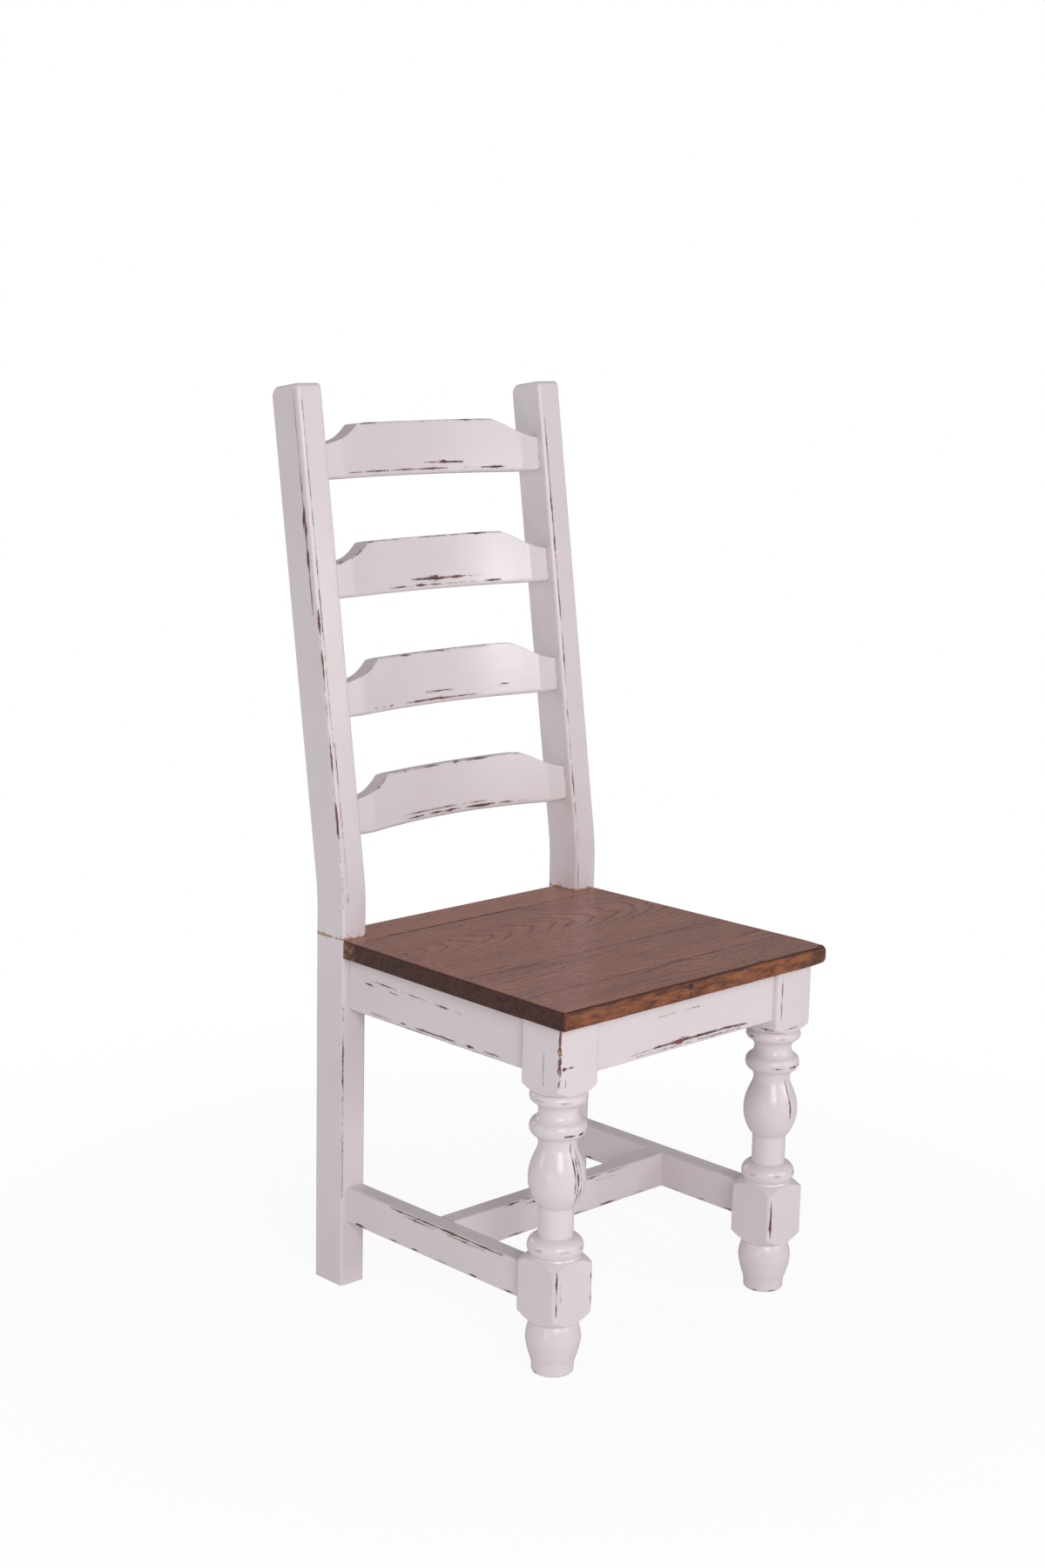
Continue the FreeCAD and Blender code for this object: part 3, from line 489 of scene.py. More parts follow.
# Slats: marks along X on the lower and upper front edges, and on the face above the lower edge.
SLAT_WEAR = {
    "slat_bottom": {
        "low": (
            (-92, -60, 0.7), (-52, -26, 0.8), (-26, 6, 1.3), (12, 66, 1.5), (70, 96, 0.8),
            (102, 122, 0.7)),
        "face": ((-96, -48, 0.6), (-48, 4, 0.8), (4, 50, 0.4)),
        "face_height": 11,
        "top": ((-114, -60, 0.7), (-60, -14, 0.9), (-12, 18, 2.4), (18, 62, 1.0), (62, 122, 1.0)),
        "scoop": ((-152, -126, 1.3),),
    },
    "slat_lower": {
        "low": (
            (-137, -128, 0.8), (-122, -114, 0.7), (-108, -100, 0.8), (-78, -36, 0.9), (-36, 14, 1.3),
            (14, 56, 0.6)),
        "face": ((-40, 10, 0.5), (90, 104, 0.5)),
        "face_height": 16,
        "top": ((-130, -88, 0.7), (-88, -44, 1.4), (-44, 12, 0.8), (16, 80, 0.5)),
        "scoop": ((-182, -162, 0.9), (-158, -126, 0.7)),
    },
    "slat_upper": {
        "low": ((-86, -44, 0.7), (-44, -18, 1.7), (-18, 6, 0.8), (12, 70, 0.4), (76, 106, 1.2)),
        "face": ((-48, -26, 1.2), (-26, 14, 3.0), (14, 50, 1.8), (50, 74, 0.5)),
        "face_height": 14,
        "top": ((-135, -96, 0.6), (-96, -40, 0.9), (-30, 20, 0.6), (20, 112, 1.2)),
        "scoop": ((-184, -160, 1.3), (-156, -124, 1.2)),
    },
    "slat_top": {
        "low": (
            (-146, -120, 0.5), (-116, -70, 0.9), (-66, -20, 0.6), (-20, 34, 0.9), (60, 82, 0.4),
            (82, 130, 1.9)),
        "face": ((-6, 18, 0.5), (18, 34, 2.4), (34, 60, 1.0)),
        "face_height": 14,
        "top": ((-120, -80, 1.3), (-80, -30, 0.6), (-24, 40, 0.5), (40, 82, 1.0), (84, 114, 0.9)),
    },
}

SLAT_FRONT = 10
SLAT_THICKNESS = 20
SLAT_HEIGHT = 74
SLAT_BOW = 15.5
SLAT_LAND = 32
FIRST_SLAT = 70
SLAT_PITCH = 149
SLAT_TUCK = 3
BOW_HALF = POST_INNER - SLAT_LAND
# How much further left the scoop at the left end is cut at the back, and the roundings.
SCOOP_SLANT = 7
LOWER_ROUND = 5
ARRIS_ROUND = 1.3

# The upper outline of a slat, from left to right: across, and how far below the full height.
SLAT_CROWN = (
    (-POST_INNER - SLAT_TUCK, 31), (-178, 29.6), (-164, 26.8), (-153, 23.8), (-143, 20), (-134, 15),
    (-127, 10.2), (-121, 5), (-106, 3.8), (-47, 2.6), (0, 2), (47, 1.7), (80, 1.8), (109, 2.4), (118, 5.2), (125, 8),
    (132, 10.8), (141, 15.5), (149, 19.5), (159, 23.3), (171, 26.8), (181, 28.8), (
        POST_INNER + SLAT_TUCK, 30),
)
# How much higher each slat's crown is, and how far its bottom edge is arched.
SLAT_SHAPES = {
    "slat_bottom": (1.2, 4.5), "slat_lower": (-0.2, 2.6), "slat_upper": (-0.5, 2.0),
    "slat_top": (-0.6, 2.8)}


def soften(shape, edges, offset, segments):
    """Rounds these edges."""
    bmesh.ops.bevel(
        shape, geom=edges, offset=offset, offset_type="OFFSET", affect="EDGES", segments=segments,
        profile=0.5, material=-1,
    )


def finished_piece(shape, name, mesh_name):
    """Ends a shape: a piece that is smooth between its sharp edges."""
    mesh = bpy.data.meshes.new(mesh_name)
    shape.to_mesh(mesh)
    shape.free()
    mesh.shade_smooth()
    mesh.set_sharp_from_angle(angle=math.radians(35))
    piece = bpy.data.objects.new(name, mesh)
    bpy.context.collection.objects.link(piece)
    piece.modifiers.new("even shading", "WEIGHTED_NORMAL").keep_sharp = True
    return piece


def slat_shape(name, number):
    """A bowed slat with scooped ends and soft edges, square to the raked posts."""
    shape = bmesh.new()
    higher, arch = SLAT_SHAPES[name]
    end = POST_INNER + SLAT_TUCK
    crown = [(across, SLAT_HEIGHT + higher - drop) for across, drop in SLAT_CROWN]
    corners = [(-end, 0), *crown, (end, 0)]
    shape.faces.new([shape.verts.new((across, SLAT_FRONT, up)) for across, up in corners])
    for across in (-BOW_HALF - 2.5, *range(-152, 153, 8), BOW_HALF + 2.5):
        whole = shape.verts[:] + shape.edges[:] + shape.faces[:]
        bmesh.ops.bisect_plane(shape, geom=whole, plane_co=(across, 0, 0), plane_no=(1, 0, 0))
    grown = bmesh.ops.extrude_face_region(shape, geom=shape.faces[:])
    rear = [item for item in grown["geom"] if isinstance(item, bmesh.types.BMVert)]
    bmesh.ops.translate(shape, verts=rear, vec=(0, SLAT_THICKNESS, 0))
    for vertex in rear:
        if vertex.co.z > SLAT_HEIGHT / 2 and -POST_INNER < vertex.co.x < -100:
            vertex.co.x -= SCOOP_SLANT * min(1, (vertex.co.x + POST_INNER) / 30)
    bmesh.ops.recalc_face_normals(shape, faces=shape.faces[:])
    under = [edge for edge in shape.edges if all(vertex.co.z < 0.01 for vertex in edge.verts)]
    under = [edge for edge in under if edge.calc_face_angle(0) > 0.9]
    front_under = [edge for edge in under if all(vertex.co.y < SLAT_FRONT + 0.01 for vertex in edge.verts)]
    soften(shape, front_under, LOWER_ROUND, 4)
    rest = [edge for edge in shape.edges if edge.calc_face_angle(0) > 0.9]
    soften(shape, rest, ARRIS_ROUND, 2)
    for vertex in shape.verts:
        middle = max(0, 1 - (vertex.co.x / BOW_HALF) ** 2)
        vertex.co.y += SLAT_BOW * middle
        vertex.co.z += arch * (1 - vertex.co.z / SLAT_HEIGHT) * middle
    along = FIRST_SLAT + number * SLAT_PITCH
    lean = Matrix.Rotation(-RAKE, 4, "X")
    lift = Matrix.Translation((0, POST_FRONT, BEND_HEIGHT)) @ lean @ Matrix.Translation((0, 0, along))
    bmesh.ops.transform(shape, verts=shape.verts[:], matrix=Matrix.Scale(MILLIMETRE, 4) @ lift)
    return finished_piece(shape, name + "_painted", name + "_wood")


def slat_paint(name, number):
    """Paint of one slat, worn along its edges."""
    marks = SLAT_WEAR[name]

    def worn_places(finish, x, y, z):
        behind = (y - POST_FRONT) * math.cos(RAKE) - (z - BEND_HEIGHT) * math.sin(RAKE)
        along = (y - POST_FRONT) * math.sin(RAKE) + (z - BEND_HEIGHT) * math.cos(RAKE)
        up = along - FIRST_SLAT - number * SLAT_PITCH
        share = x / BOW_HALF
        middle = (1 - share * share).at_least(0)
        higher, arch = SLAT_SHAPES[name]
        depth = behind - middle * SLAT_BOW - SLAT_FRONT
        rear = depth - SLAT_THICKNESS
        end = POST_INNER + SLAT_TUCK
        crown = [((across + end) / (2 * end), drop / 40) for across, drop in SLAT_CROWN]
        under_top = up - SLAT_HEIGHT - higher + finish.profile((x + end) / (2 * end), crown) * 40
        up = up - middle * arch
        places = []
        if "scoop" in marks:
            places.append(worn_line(finish, x, distance(depth, under_top), marks["scoop"]))
        return places + [
            worn_line(finish, x, distance(depth, up - 6), marks["low"]),
            worn_line(finish, x, distance(depth, up - marks["face_height"]), marks["face"]),
            worn_line(finish, x, distance(depth, under_top + 1.2) + 0.45, marks["top"]),
            worn_line(finish, x, distance(rear, under_top), random_marks(50 + number, -125, 120, 6, 1.8)),
            worn_line(finish, x, distance(rear, up), random_marks(60 + number, -170, 170, 6, 1.8)),
            worn_line(finish, x, distance(depth, up), random_marks(70 + number, -170, 170, 6, 0.9)),
        ]

    def stains_and_shade(finish, x, y, z):
        cloud = finish.noise(finish.stretch(finish.join(x, y, z), (9, 9, 9)), detail=3)
        # Brown blotches on the slat next to the posts.
        near_post = (abs(x) - POST_INNER + 4).eased(0, 4)
        facing_x, facing_y, facing_z = finish.facing()
        # Painted shade: the scoop surfaces that face left get a share of the stain colour, which darkens and warms
        # them.
        scoop = (-facing_x).eased(0.25, 0.6) * (abs(x) - 118).eased(0, 6)
        return [near_post * cloud.eased(0.3, 0.7) * 0.35, scoop * 0.16]

    return painted("paint_" + name, "x", worn_places, stains_and_shade=stains_and_shade)


class CHAIR_OT_slats(bpy.types.Operator):
    """Shapes and paints the four slats"""

    bl_idname = "chair.slats"
    bl_label = "Slats"

    def execute(self, context):
        for number, name in enumerate(SLAT_WEAR):
            slat = slat_shape(name, number)
            slat.data.materials.append(slat_paint(name, number))
            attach(slat, "root")
            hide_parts(name)
        return {"FINISHED"}


# Heights of the turned mouldings where the paint is worn, and millimetres to a degree round the bulb.
FOOT_HEIGHT = 2
TORUS_HEIGHT = 160
CUP_HEIGHT = 302.5
BEAD_HEIGHT = 343
SHOULDER_HEIGHT = 356
BULB_DEGREE = 0.6


def front_leg(side):
    """Paint of one front leg, worn on its blocks' edges and round its mouldings."""
    name = "front_leg_" + SIDE_NAMES[side]
    middle_x = side * LEG_MIDDLE[0]

    def worn_places(finish, x, y, z):
        across = x - middle_x
        ahead = LEG_MIDDLE[1] - y
        radius = distance(across, ahead)
        turn = across.worked("ARCTAN2", ahead) * (180 / math.pi)
        front_left = distance(across + LEG_HALF, ahead - LEG_HALF)
        front_right = distance(across - LEG_HALF, ahead - LEG_HALF)
        rear_left = distance(across + LEG_HALF, ahead + LEG_HALF)
        rear_right = distance(across - LEG_HALF, ahead + LEG_HALF)
        places = []
        if side == LEFT:
            places += [
                worn_line(
                    finish, z, front_left - 1.5,
                    ((364, 378, 1.2), (378, 391, 2.0), (391, 402, 1.5), (402, 414, 2.3), (414, 434, 1.5))),
                worn_line(
                    finish, z, distance(across + 28.5, ahead - LEG_HALF),
                    ((84, 108, 0.9), (108, 141, 1.2))),
                worn_line(
                    finish, z, distance(across + 22, ahead - LEG_HALF), ((98, 124, 0.5), (364, 374, 0.5))),
                worn_line(finish, z, front_right - 1, ((80, 104, 2.7), (104, 137, 2.3), (372, 380, 0.8))),
                worn_line(finish, z, rear_left - 1, ((80, 104, 2.3), (104, 137, 1.8), (398, 408, 1.6))),
                worn_line(finish, z, rear_right, random_marks(91, 84, 135, 3, 1.5)),
                worn_line(
                    finish, turn, abs(z - CUP_HEIGHT),
                    ((-34, -8, 1.1), (-2, 20, 1.6), (24, 46, 1.9), (100, 140, 1.5))),
                worn_line(
                    finish, z, abs(turn + 5) * BULB_DEGREE,
                    ((230, 250, 0.8), (250, 276, 1.2), (276, 290, 0.6))),
                worn_line(
                    finish, z, abs(turn - 3) * BULB_DEGREE,
                    ((214, 238, 0.7), (238, 262, 1.4), (262, 272, 0.6))),
                worn_line(finish, z, abs(turn - 12) * BULB_DEGREE, ((222, 240, 0.9), (240, 280, 0.6))),
                worn_line(finish, z, distance(across + LEG_HALF, ahead - 6), ((362, 400, 0.2),)),
                worn_line(
                    finish, across, distance(z - 386.5, ahead - LEG_HALF),
                    ((-29, -20, 2.4), (-18, -10, 1.3))),
            ]
        else:
            places += [
                worn_line(
                    finish, z, distance(across + 25, ahead - LEG_HALF),
                    ((368, 398, 1.4), (398, 430, 1.3))),
                worn_line(finish, z, front_right - 2, ((366, 384, 1.3), (392, 427, 1.5), (84, 132, 0.8))),
                worn_line(
                    finish, z, distance(across + 28.5, ahead - LEG_HALF),
                    ((80, 106, 1.7), (106, 134, 1.5))),
                worn_line(finish, z, rear_left, random_marks(95, 84, 135, 3, 1.3)),
                worn_line(finish, z, rear_right, random_marks(96, 84, 135, 3, 1.8)),
                worn_line(
                    finish, turn, abs(z - CUP_HEIGHT - 1.5),
                    ((-50, -20, 0.9), (-10, 14, 1.3), (18, 50, 1.7))),
                worn_line(
                    finish, turn, abs(z - SHOULDER_HEIGHT),
                    ((-82, -50, 0.9), (-30, 20, 0.9), (60, 100, 0.9))),
                worn_line(finish, z, abs(turn + 2) * BULB_DEGREE, ((232, 262, 1.0), (262, 292, 0.7))),
                worn_line(
                    finish, z, abs(turn - 14) * BULB_DEGREE,
                    ((192, 212, 0.8), (236, 262, 1.6), (10, 50, 0.8))),
            ]
        places += [
            worn_line(
                finish, turn, distance(z - TORUS_HEIGHT, radius - 34),
                random_marks(101 + side, -175, 175, 6, 1.0)),
            worn_line(
                finish, turn, distance(z - BEAD_HEIGHT, radius - 35),
                random_marks(103 + side, -175, 175, 6, 0.9)),
            worn_line(finish, turn, abs(z - FOOT_HEIGHT), random_marks(105 + side, -175, 175, 6, 1.4)),
        ]
        return places

    def raw_places(finish, x, y, z):
        if side == RIGHT:
            return []
        edge = distance(x - middle_x + LEG_HALF, LEG_MIDDLE[1] - y - LEG_HALF)
        return [worn_line(finish, z, edge - 2, ((381, 387, 1.2), (404, 411, 1.4)))]

    def stains_and_shade(finish, x, y, z):
        smear = finish.noise(finish.stretch(finish.join(x, y, z), (9, 9, 2.5)), detail=4, roughness=0.7)
        near_seat = (z - SEAT_UNDER + 5).eased(0, 5)
        return [near_seat * smear.eased(0.4, 0.6) * 0.5]

    wear(name, painted("paint_" + name, "z", worn_places, raw_places, stains_and_shade))


class CHAIR_OT_front_legs(bpy.types.Operator):
    """Paints the two turned front legs"""

    bl_idname = "chair.front_legs"
    bl_label = "Front legs"

    def execute(self, context):
        for side in (LEFT, RIGHT):
            front_leg(side)
        return {"FINISHED"}


# Worn marks of the left side apron: a row near the middle of its face, and chips along its lower edge.
APRON_ROW = ((-82, -68, 0.6), (-62, -34, 0.7), (-22, 28, 0.7), (36, 84, 0.6))
APRON_CHIPS = (
    (-152, -122, 0.7), (-107, -86, 2.0), (-74, -34, 1.2), (-34, 0, 1.0), (16, 30, 0.9), (42, 84, 0.5))


def side_apron(side):
    """Paint of one side apron."""
    name = "side_apron_" + SIDE_NAMES[side]
    low, high = low_and_high(name)

    def worn_places(finish, x, y, z):
        from_face = (high.x if side == RIGHT else -low.x) - x * side
        bottom = z - low.z
        places = [
            worn_line(finish, y, distance(from_face - 22, bottom),
            random_marks(111 + side, -200, 140, 6, 1.4))]
        if side == LEFT:
            row = z - 414 - (y - 10) * 0.03
            places += [
                worn_line(finish, y, distance(from_face, row), APRON_ROW),
                worn_line(finish, y, distance(from_face, row + 6), ((30, 50, 0.6), (78, 96, 1.6))),
                worn_line(finish, y, distance(from_face, bottom - 5.5), APRON_CHIPS),
                worn_line(
                    finish, y, distance(from_face, bottom - 1.5), ((-140, -60, 0.35), (-50, 60, 0.35))),
            ]
        else:
            places += [
                worn_line(finish, y, distance(from_face, bottom - 3), random_marks(117, -200, 140, 6, 2.0)),
                worn_line(finish, y, distance(from_face, z - 408), random_marks(118, -150, 120, 5, 0.9)),
            ]
        return places

    wear(name, painted("paint_" + name, "y", worn_places, stains_and_shade=rail_stains))


def rail_stains(finish, x, y, z):
    """Wood stain that ran down from the seat."""
    smear = finish.noise(finish.stretch(finish.join(x, y, z), (11, 11, 2.5)), detail=4, roughness=0.7)
    return [(z - SEAT_UNDER + 4.5).eased(0, 4.5) * smear.eased(0.4, 0.6) * 0.5]


def end_apron(name, seed):
    """Paint of the front or rear apron."""
    low, high = low_and_high(name)

    def worn_places(finish, x, y, z):
        outward = y - low.y if name == "front_apron" else high.y - y
        bottom = z - low.z
        places = [
            worn_line(finish, x, distance(outward - 22, bottom), random_marks(seed, -150, 150, 6, 1.4))]
        if name == "front_apron":
            streak = z - 378 + (abs(x - 10) - 60).at_least(0) * 0.05
            places += [
                worn_line(
                    finish, x, distance(outward, streak),
                    ((-104, -66, 0.6), (-66, -30, 1.3), (-30, 8, 3.2), (8, 60, 1.4), (60, 114, 1.0))),
                worn_line(finish, x, distance(outward, bottom - 4), ((-90, 10, 0.35), (20, 100, 0.35))),
                worn_line(finish, x, distance(outward, z - 415), ((-52, -20, 0.5), (-12, 22, 0.5))),
            ]
        else:
            places += [
                worn_line(
                    finish, x, distance(outward, bottom - 2), random_marks(seed + 1, -170, 170, 6, 2.0)),
                worn_line(finish, x, distance(outward, z - 404), random_marks(seed + 2, -120, 140, 5, 0.8)),
            ]
        return places

    wear(name, painted("paint_" + name, "x", worn_places, stains_and_shade=rail_stains))


class CHAIR_OT_aprons(bpy.types.Operator):
    """Paints the four rails under the seat"""

    bl_idname = "chair.aprons"
    bl_label = "Aprons"

    def execute(self, context):
        for side in (LEFT, RIGHT):
            side_apron(side)
        end_apron("front_apron", 121)
        end_apron("rear_apron", 125)
        return {"FINISHED"}


def stretcher(name, grain, front_marks, seed):
    """Paint of one stretcher; the marks are for its upper edge on the side seen first."""
    low, high = low_and_high(name)

    def worn_places(finish, x, y, z):
        along, beside, first, last = (y, x, low.x, high.x) if grain == "y" else (x, y, low.y, high.y)
        shown = beside - first
        hidden = last - beside
        top = high.z - z
        bottom = z - low.z
        ends = (low.y + 20, high.y - 20) if grain == "y" else (low.x + 20, high.x - 20)
        places = [
            worn_line(finish, along, distance(shown, top - 2), front_marks),
            worn_line(finish, along, distance(shown, bottom - 3), random_marks(seed + 1, *ends, 6, 1.5)),
            worn_line(finish, along, distance(hidden, top), random_marks(seed + 2, *ends, 6, 1.8)),
            worn_line(finish, along, distance(hidden, bottom), random_marks(seed + 3, *ends, 6, 1.6)),
        ]
        if name == "side_stretcher_left":
            places.append(
                worn_line(finish, along, distance(shown, top - 6), ((-130, -60, 0.5), (-40, 20, 0.6))))
        if name == "cross_stretcher":
            places.append(
                worn_line(finish, along, distance(shown, top - 8), ((-64, -38, 1.0), (60, 96, 0.4))))
        return places

    wear(name, painted("paint_" + name, grain, worn_places))


class CHAIR_OT_stretchers(bpy.types.Operator):
    """Paints the three stretchers near the floor"""

    bl_idname = "chair.stretchers"
    bl_label = "Stretchers"

    def execute(self, context):
        stretcher(
            "side_stretcher_left", "y", ((-162, -100, 0.8), (-100, -46, 1.2), (-46, 2, 0.9), (2, 46, 0.6)),
            131)
        stretcher(
            "side_stretcher_right", "y", ((14, 40, 1.6), (44, 60, 0.9), (64, 96, 1.1), (-150, -120, 0.6)),
            141)
        stretcher(
            "cross_stretcher", "x", ((-104, -76, 0.7), (-70, -40, 0.7), (34, 70, 0.8), (76, 126, 0.6)),
            151)
        return {"FINISHED"}


# Seat boards: the heart of the log each was sawn from (behind the chair's middle, and below
# the seat's top), how the heart falls towards +X, how dark the board is, and its seed.
SEAT_BOARDS = {
    "seat_board_front": (-420, 120, 0.02, 0.24, 3),
    "seat_board_second": (-330, 190, 0.03, 0.20, 11),
    "seat_board_wide": (28, 46, 0.16, 0.19, 17),
    "seat_board_rear": (300, 160, 0.05, -0.24, 29),
}


def seat_board(name):
    """Stained oak, sawn from a log, under varnish."""
    seat = bpy.context.scene.chair_seat
    heart, depth, fall, darkness, seed = SEAT_BOARDS[name]
    low, high = low_and_high(name)
    finish = Finish("varnished_" + name)
    place = finish.place()
    x, y, z = finish.split(place)
    sway = finish.noise(finish.stretch(place, (260, 70, 70), (seed, 0, 0)), detail=2) - 0.5
    ripple = finish.noise(finish.stretch(place, (60, 14, 14), (0, seed, 0)), detail=3) - 0.5
    across = y - heart + sway * 46
    below = SEAT_TOP - z + depth + x * fall + sway * 22
    rings = distance(across, below) / 6 + ripple * 1.1
    ring = rings.part_of_turn()
    late = finish.profile(ring, [(0, 0.8), (0.12, 0.15), (0.5, 0.0), (0.84, 0.2), (0.95, 1.0), (1, 0.8)])
    fibre = finish.noise(finish.stretch(place, (46, 0.9, 0.9), (seed, seed, 0)), detail=3, roughness=0.6)
    pores = finish.noise(finish.stretch(place, (9, 0.42, 0.42), (0, 0, seed)), detail=2, roughness=0.6)
    pore = (pores + late * 0.13 - 0.02).eased(0.58, 0.68)
    broad = finish.noise(finish.stretch(place, (210, 42, 42), (seed, 5, 0)), detail=3)

    grain = late * (fibre * 1.6 - 0.2) * 0.8 + (fibre - 0.5) * 1.7 + (broad - 0.5) * 1.1 + darkness
    top = finish.mix(grain.eased(-0.15, 1.35), seat.light, seat.dark)
    top = finish.mix(pore * 0.7, top, (0.022, 0.009, 0.008))

    facing_x, facing_y, facing_z = finish.facing()
    mottle = finish.noise(finish.stretch(place, (24, 8, 6), (seed, 0, 2)), detail=4, roughness=0.6)
    flecks = finish.noise(finish.stretch(place, (7, 2, 1.1), (3, 0, seed)), detail=3, roughness=0.7)
    edge_shade = (mottle * 1.7 + flecks * 0.3 - 0.58 + (abs(x) - 190).eased(0, 60) * 0.2).eased(0.1, 0.85)
    edge = finish.mix(edge_shade, seat.edge, (0.06, 0.018, 0.011))
    edge = finish.mix((z - SEAT_TOP + 4 + mottle * 4).eased(0, 6) * 0.7, edge, (0.04, 0.012, 0.009))
    knot = distance((x + 22) / 5.5, (z - 453) / 4.5)
    knot_line = distance((x + 21.5 + (mottle - 0.5) * 6) / 1.2, (z - 444).at_least(0) / 6)
    knot_shade = (1 - knot + (flecks - 0.5)).eased(-0.2, 0.5).at_least((1.2 - knot_line).eased(0, 1) * 0.9)
    edge = finish.mix(knot_shade * (-facing_y).eased(0, 0.5), edge, (0.022, 0.014, 0.01))
    end = finish.mix((mottle + fibre * 0.4).eased(0.45, 1.0) * 0.75, seat.end, (0.105, 0.034, 0.018))
    worn_corner = (x * -1 - 180).eased(0, 4) * (y - 106 - (mottle - 0.5) * 10).eased(0, 2)
    patchy = finish.noise(finish.stretch(place, (8, 10, 7)), detail=2)
    end = finish.mix(worn_corner * (0.15 + patchy.eased(0.42, 0.6) * 0.45), end, (0.36, 0.18, 0.08))

    colour = finish.mix(abs(facing_y).eased(0.35, 0.8), top, edge)
    colour = finish.mix(abs(facing_x).eased(0.35, 0.8), colour, end)
    # Painted shade: a thin dark line along the rounded arrises, where the surface turns between the sides and the
    # top.
    rounding = facing_z.eased(0.25, 0.6) * (1 - facing_z.eased(0.9, 0.99))
    colour = finish.mix(rounding * 0.8, colour, (0.045, 0.014, 0.012))
    under = (-facing_z).eased(0.5, 0.8)
    colour = finish.mix(under, colour, (0.30, 0.17, 0.085))

    crack = finish.noise(finish.stretch(place, (14, 2.5, 9), (0, seed, 1)), detail=4, roughness=0.7)
    joint = None
    for line, width in ((low.y, 0.55), (high.y, 0.55)):
        found = (width + (crack - 0.5) * 2.4 - abs(y - line)).eased(-0.35, 0.35)
        joint = found if joint is None else joint.at_least(found)
    if name in ("seat_board_wide", "seat_board_rear"):
        line = high.y if name == "seat_board_wide" else low.y
        fray = (x + 168).eased(0, 8) * (1 - (x - 62).eased(0, 12))
        found = (1.1 + (crack - 0.42) * 9 - abs(y - line)).eased(-0.3, 0.6) * fray
        joint = joint.at_least(found)
    joint = joint * (1 - abs(facing_y).eased(0.4, 0.8))
    colour = finish.mix(joint * 0.8, colour, (0.018, 0.008, 0.007))

    waves = finish.noise(finish.stretch(place, (60, 26, 26), (seed, 0, 0)), detail=2)
    relief = (fibre - 0.5) * 0.05 - pore * 0.06 - late * 0.03 + waves * 0.55 - joint * 0.4
    roughness = seat.gloss + pore * 0.12 + (waves - 0.5) * 0.08 + under * 0.5 + joint * 0.3
    return finish.cover(colour, roughness, relief, Specular_IOR_Level=0.35)


# The rounding of the front board's arrises, at the top and underneath: at its sides, along the
# front, and at the right front corner, which is sanded rounder for a stretch either way.
SIDE_ARRIS = (2.6, 1.6)
FRONT_ARRIS = (2.2, 1.2)
CORNER_ARRIS = (7.7, 6.7)
SANDED_MORE = 5
SANDED_LENGTH = 45
CORNER = 4
BOARD_TAPER = 1.2


def sanded(from_corner):
    """How much rounder the arrises are, this far from the right front corner."""
    return SANDED_MORE * max(0, 1 - from_corner / SANDED_LENGTH) ** 2


def front_board_outline():
    """Points round the front board: place, way out, and rounding at the top and underneath."""
    low, high = low_and_high("seat_board_front")
    half = high.x
    straight = half - CORNER
    depth = high.y - low.y - CORNER
    points = []
    for step in range(61):
        across = straight - 2 * straight * step / 60
        by_hand = 0.25 * (1 + math.sin(across / 19)) + 0.2 * (1 + math.sin(across / 7.3))
        more = sanded(half - across) + by_hand
        points.append((across, low.y, 0, -1, FRONT_ARRIS[0] + more, FRONT_ARRIS[1] + more))
    for step in range(1, 6):
        turn = math.pi * step / 12
        out = (-math.sin(turn), -math.cos(turn))
        points.append((-half + CORNER * (1 + out[0]), low.y + CORNER * (1 + out[1]), *out, *SIDE_ARRIS))
    for step in range(9):
        back = low.y + CORNER + depth * step / 8
        points.append((-half + BOARD_TAPER * step / 8, back, -1, 0, *SIDE_ARRIS))
    for step in range(9):
        back = high.y - depth * step / 8
        more = sanded(back - low.y)
        across = half - BOARD_TAPER * (1 - step / 8)
        points.append((across, back, 1, 0, SIDE_ARRIS[0] + more, SIDE_ARRIS[1] + more))
    for step in range(1, 6):
        turn = math.pi * step / 12
        out = (math.cos(turn), -math.sin(turn))
        points.append((half - CORNER * (1 - out[0]), low.y + CORNER * (1 + out[1]), *out, *CORNER_ARRIS))
    return points


def front_board_shape():
    """The front board, with its right front corner sanded rounder than the rest."""
    outline = front_board_outline()
    shape = bmesh.new()
    place = shape.verts.layers.int.new("place")

    def put(vertices, low_half, step):
        turn = math.pi * step / 12
        for vertex in vertices:
            x, y, out_x, out_y, top_round, bottom_round = outline[vertex[place]]
            rounding = bottom_round if low_half else top_round
            inset = rounding * (1 - math.sin(turn))
            drop = rounding * (1 - math.cos(turn))
            level = SEAT_UNDER + drop if low_half else SEAT_TOP - drop
            vertex.co = Vector((x - out_x * inset, y - out_y * inset, level)) * MILLIMETRE

    ring = []
    for number in range(len(outline)):
        vertex = shape.verts.new()
        vertex[place] = number
        ring.append(vertex)
    top = shape.faces.new(ring)
    put(ring, False, 0)
    edges = top.edges[:]
    for low_half, step in [(False, step) for step in range(1, 7)] + [
        (True, step) for step in range(6, -1, -1)]:
        grown = bmesh.ops.extrude_edge_only(shape, edges=edges)["geom"]
        ring = [item for item in grown if isinstance(item, bmesh.types.BMVert)]
        edges = [item for item in grown if isinstance(item, bmesh.types.BMEdge)]
        edges = [edge for edge in edges if all(vertex in ring for vertex in edge.verts)]
        put(ring, low_half, step)
    shape.faces.new(sorted(ring, key=lambda vertex: vertex[place]))
    bmesh.ops.recalc_face_normals(shape, faces=shape.faces[:])
    return finished_piece(shape, "seat_board_front_sanded", "front_board_wood")


class CHAIR_OT_seat(bpy.types.Operator):
    """Stains and varnishes the boards of the seat, and sands the front one's corner"""

    bl_idname = "chair.seat"
    bl_label = "Seat"

    def execute(self, context):
        for name in SEAT_BOARDS:
            material = seat_board(name)
            if name == "seat_board_front":
                board = front_board_shape()
                board.data.materials.append(material)
                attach(board, "root")
                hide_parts(name)
            else:
                wear(name, material)
        return {"FINISHED"}


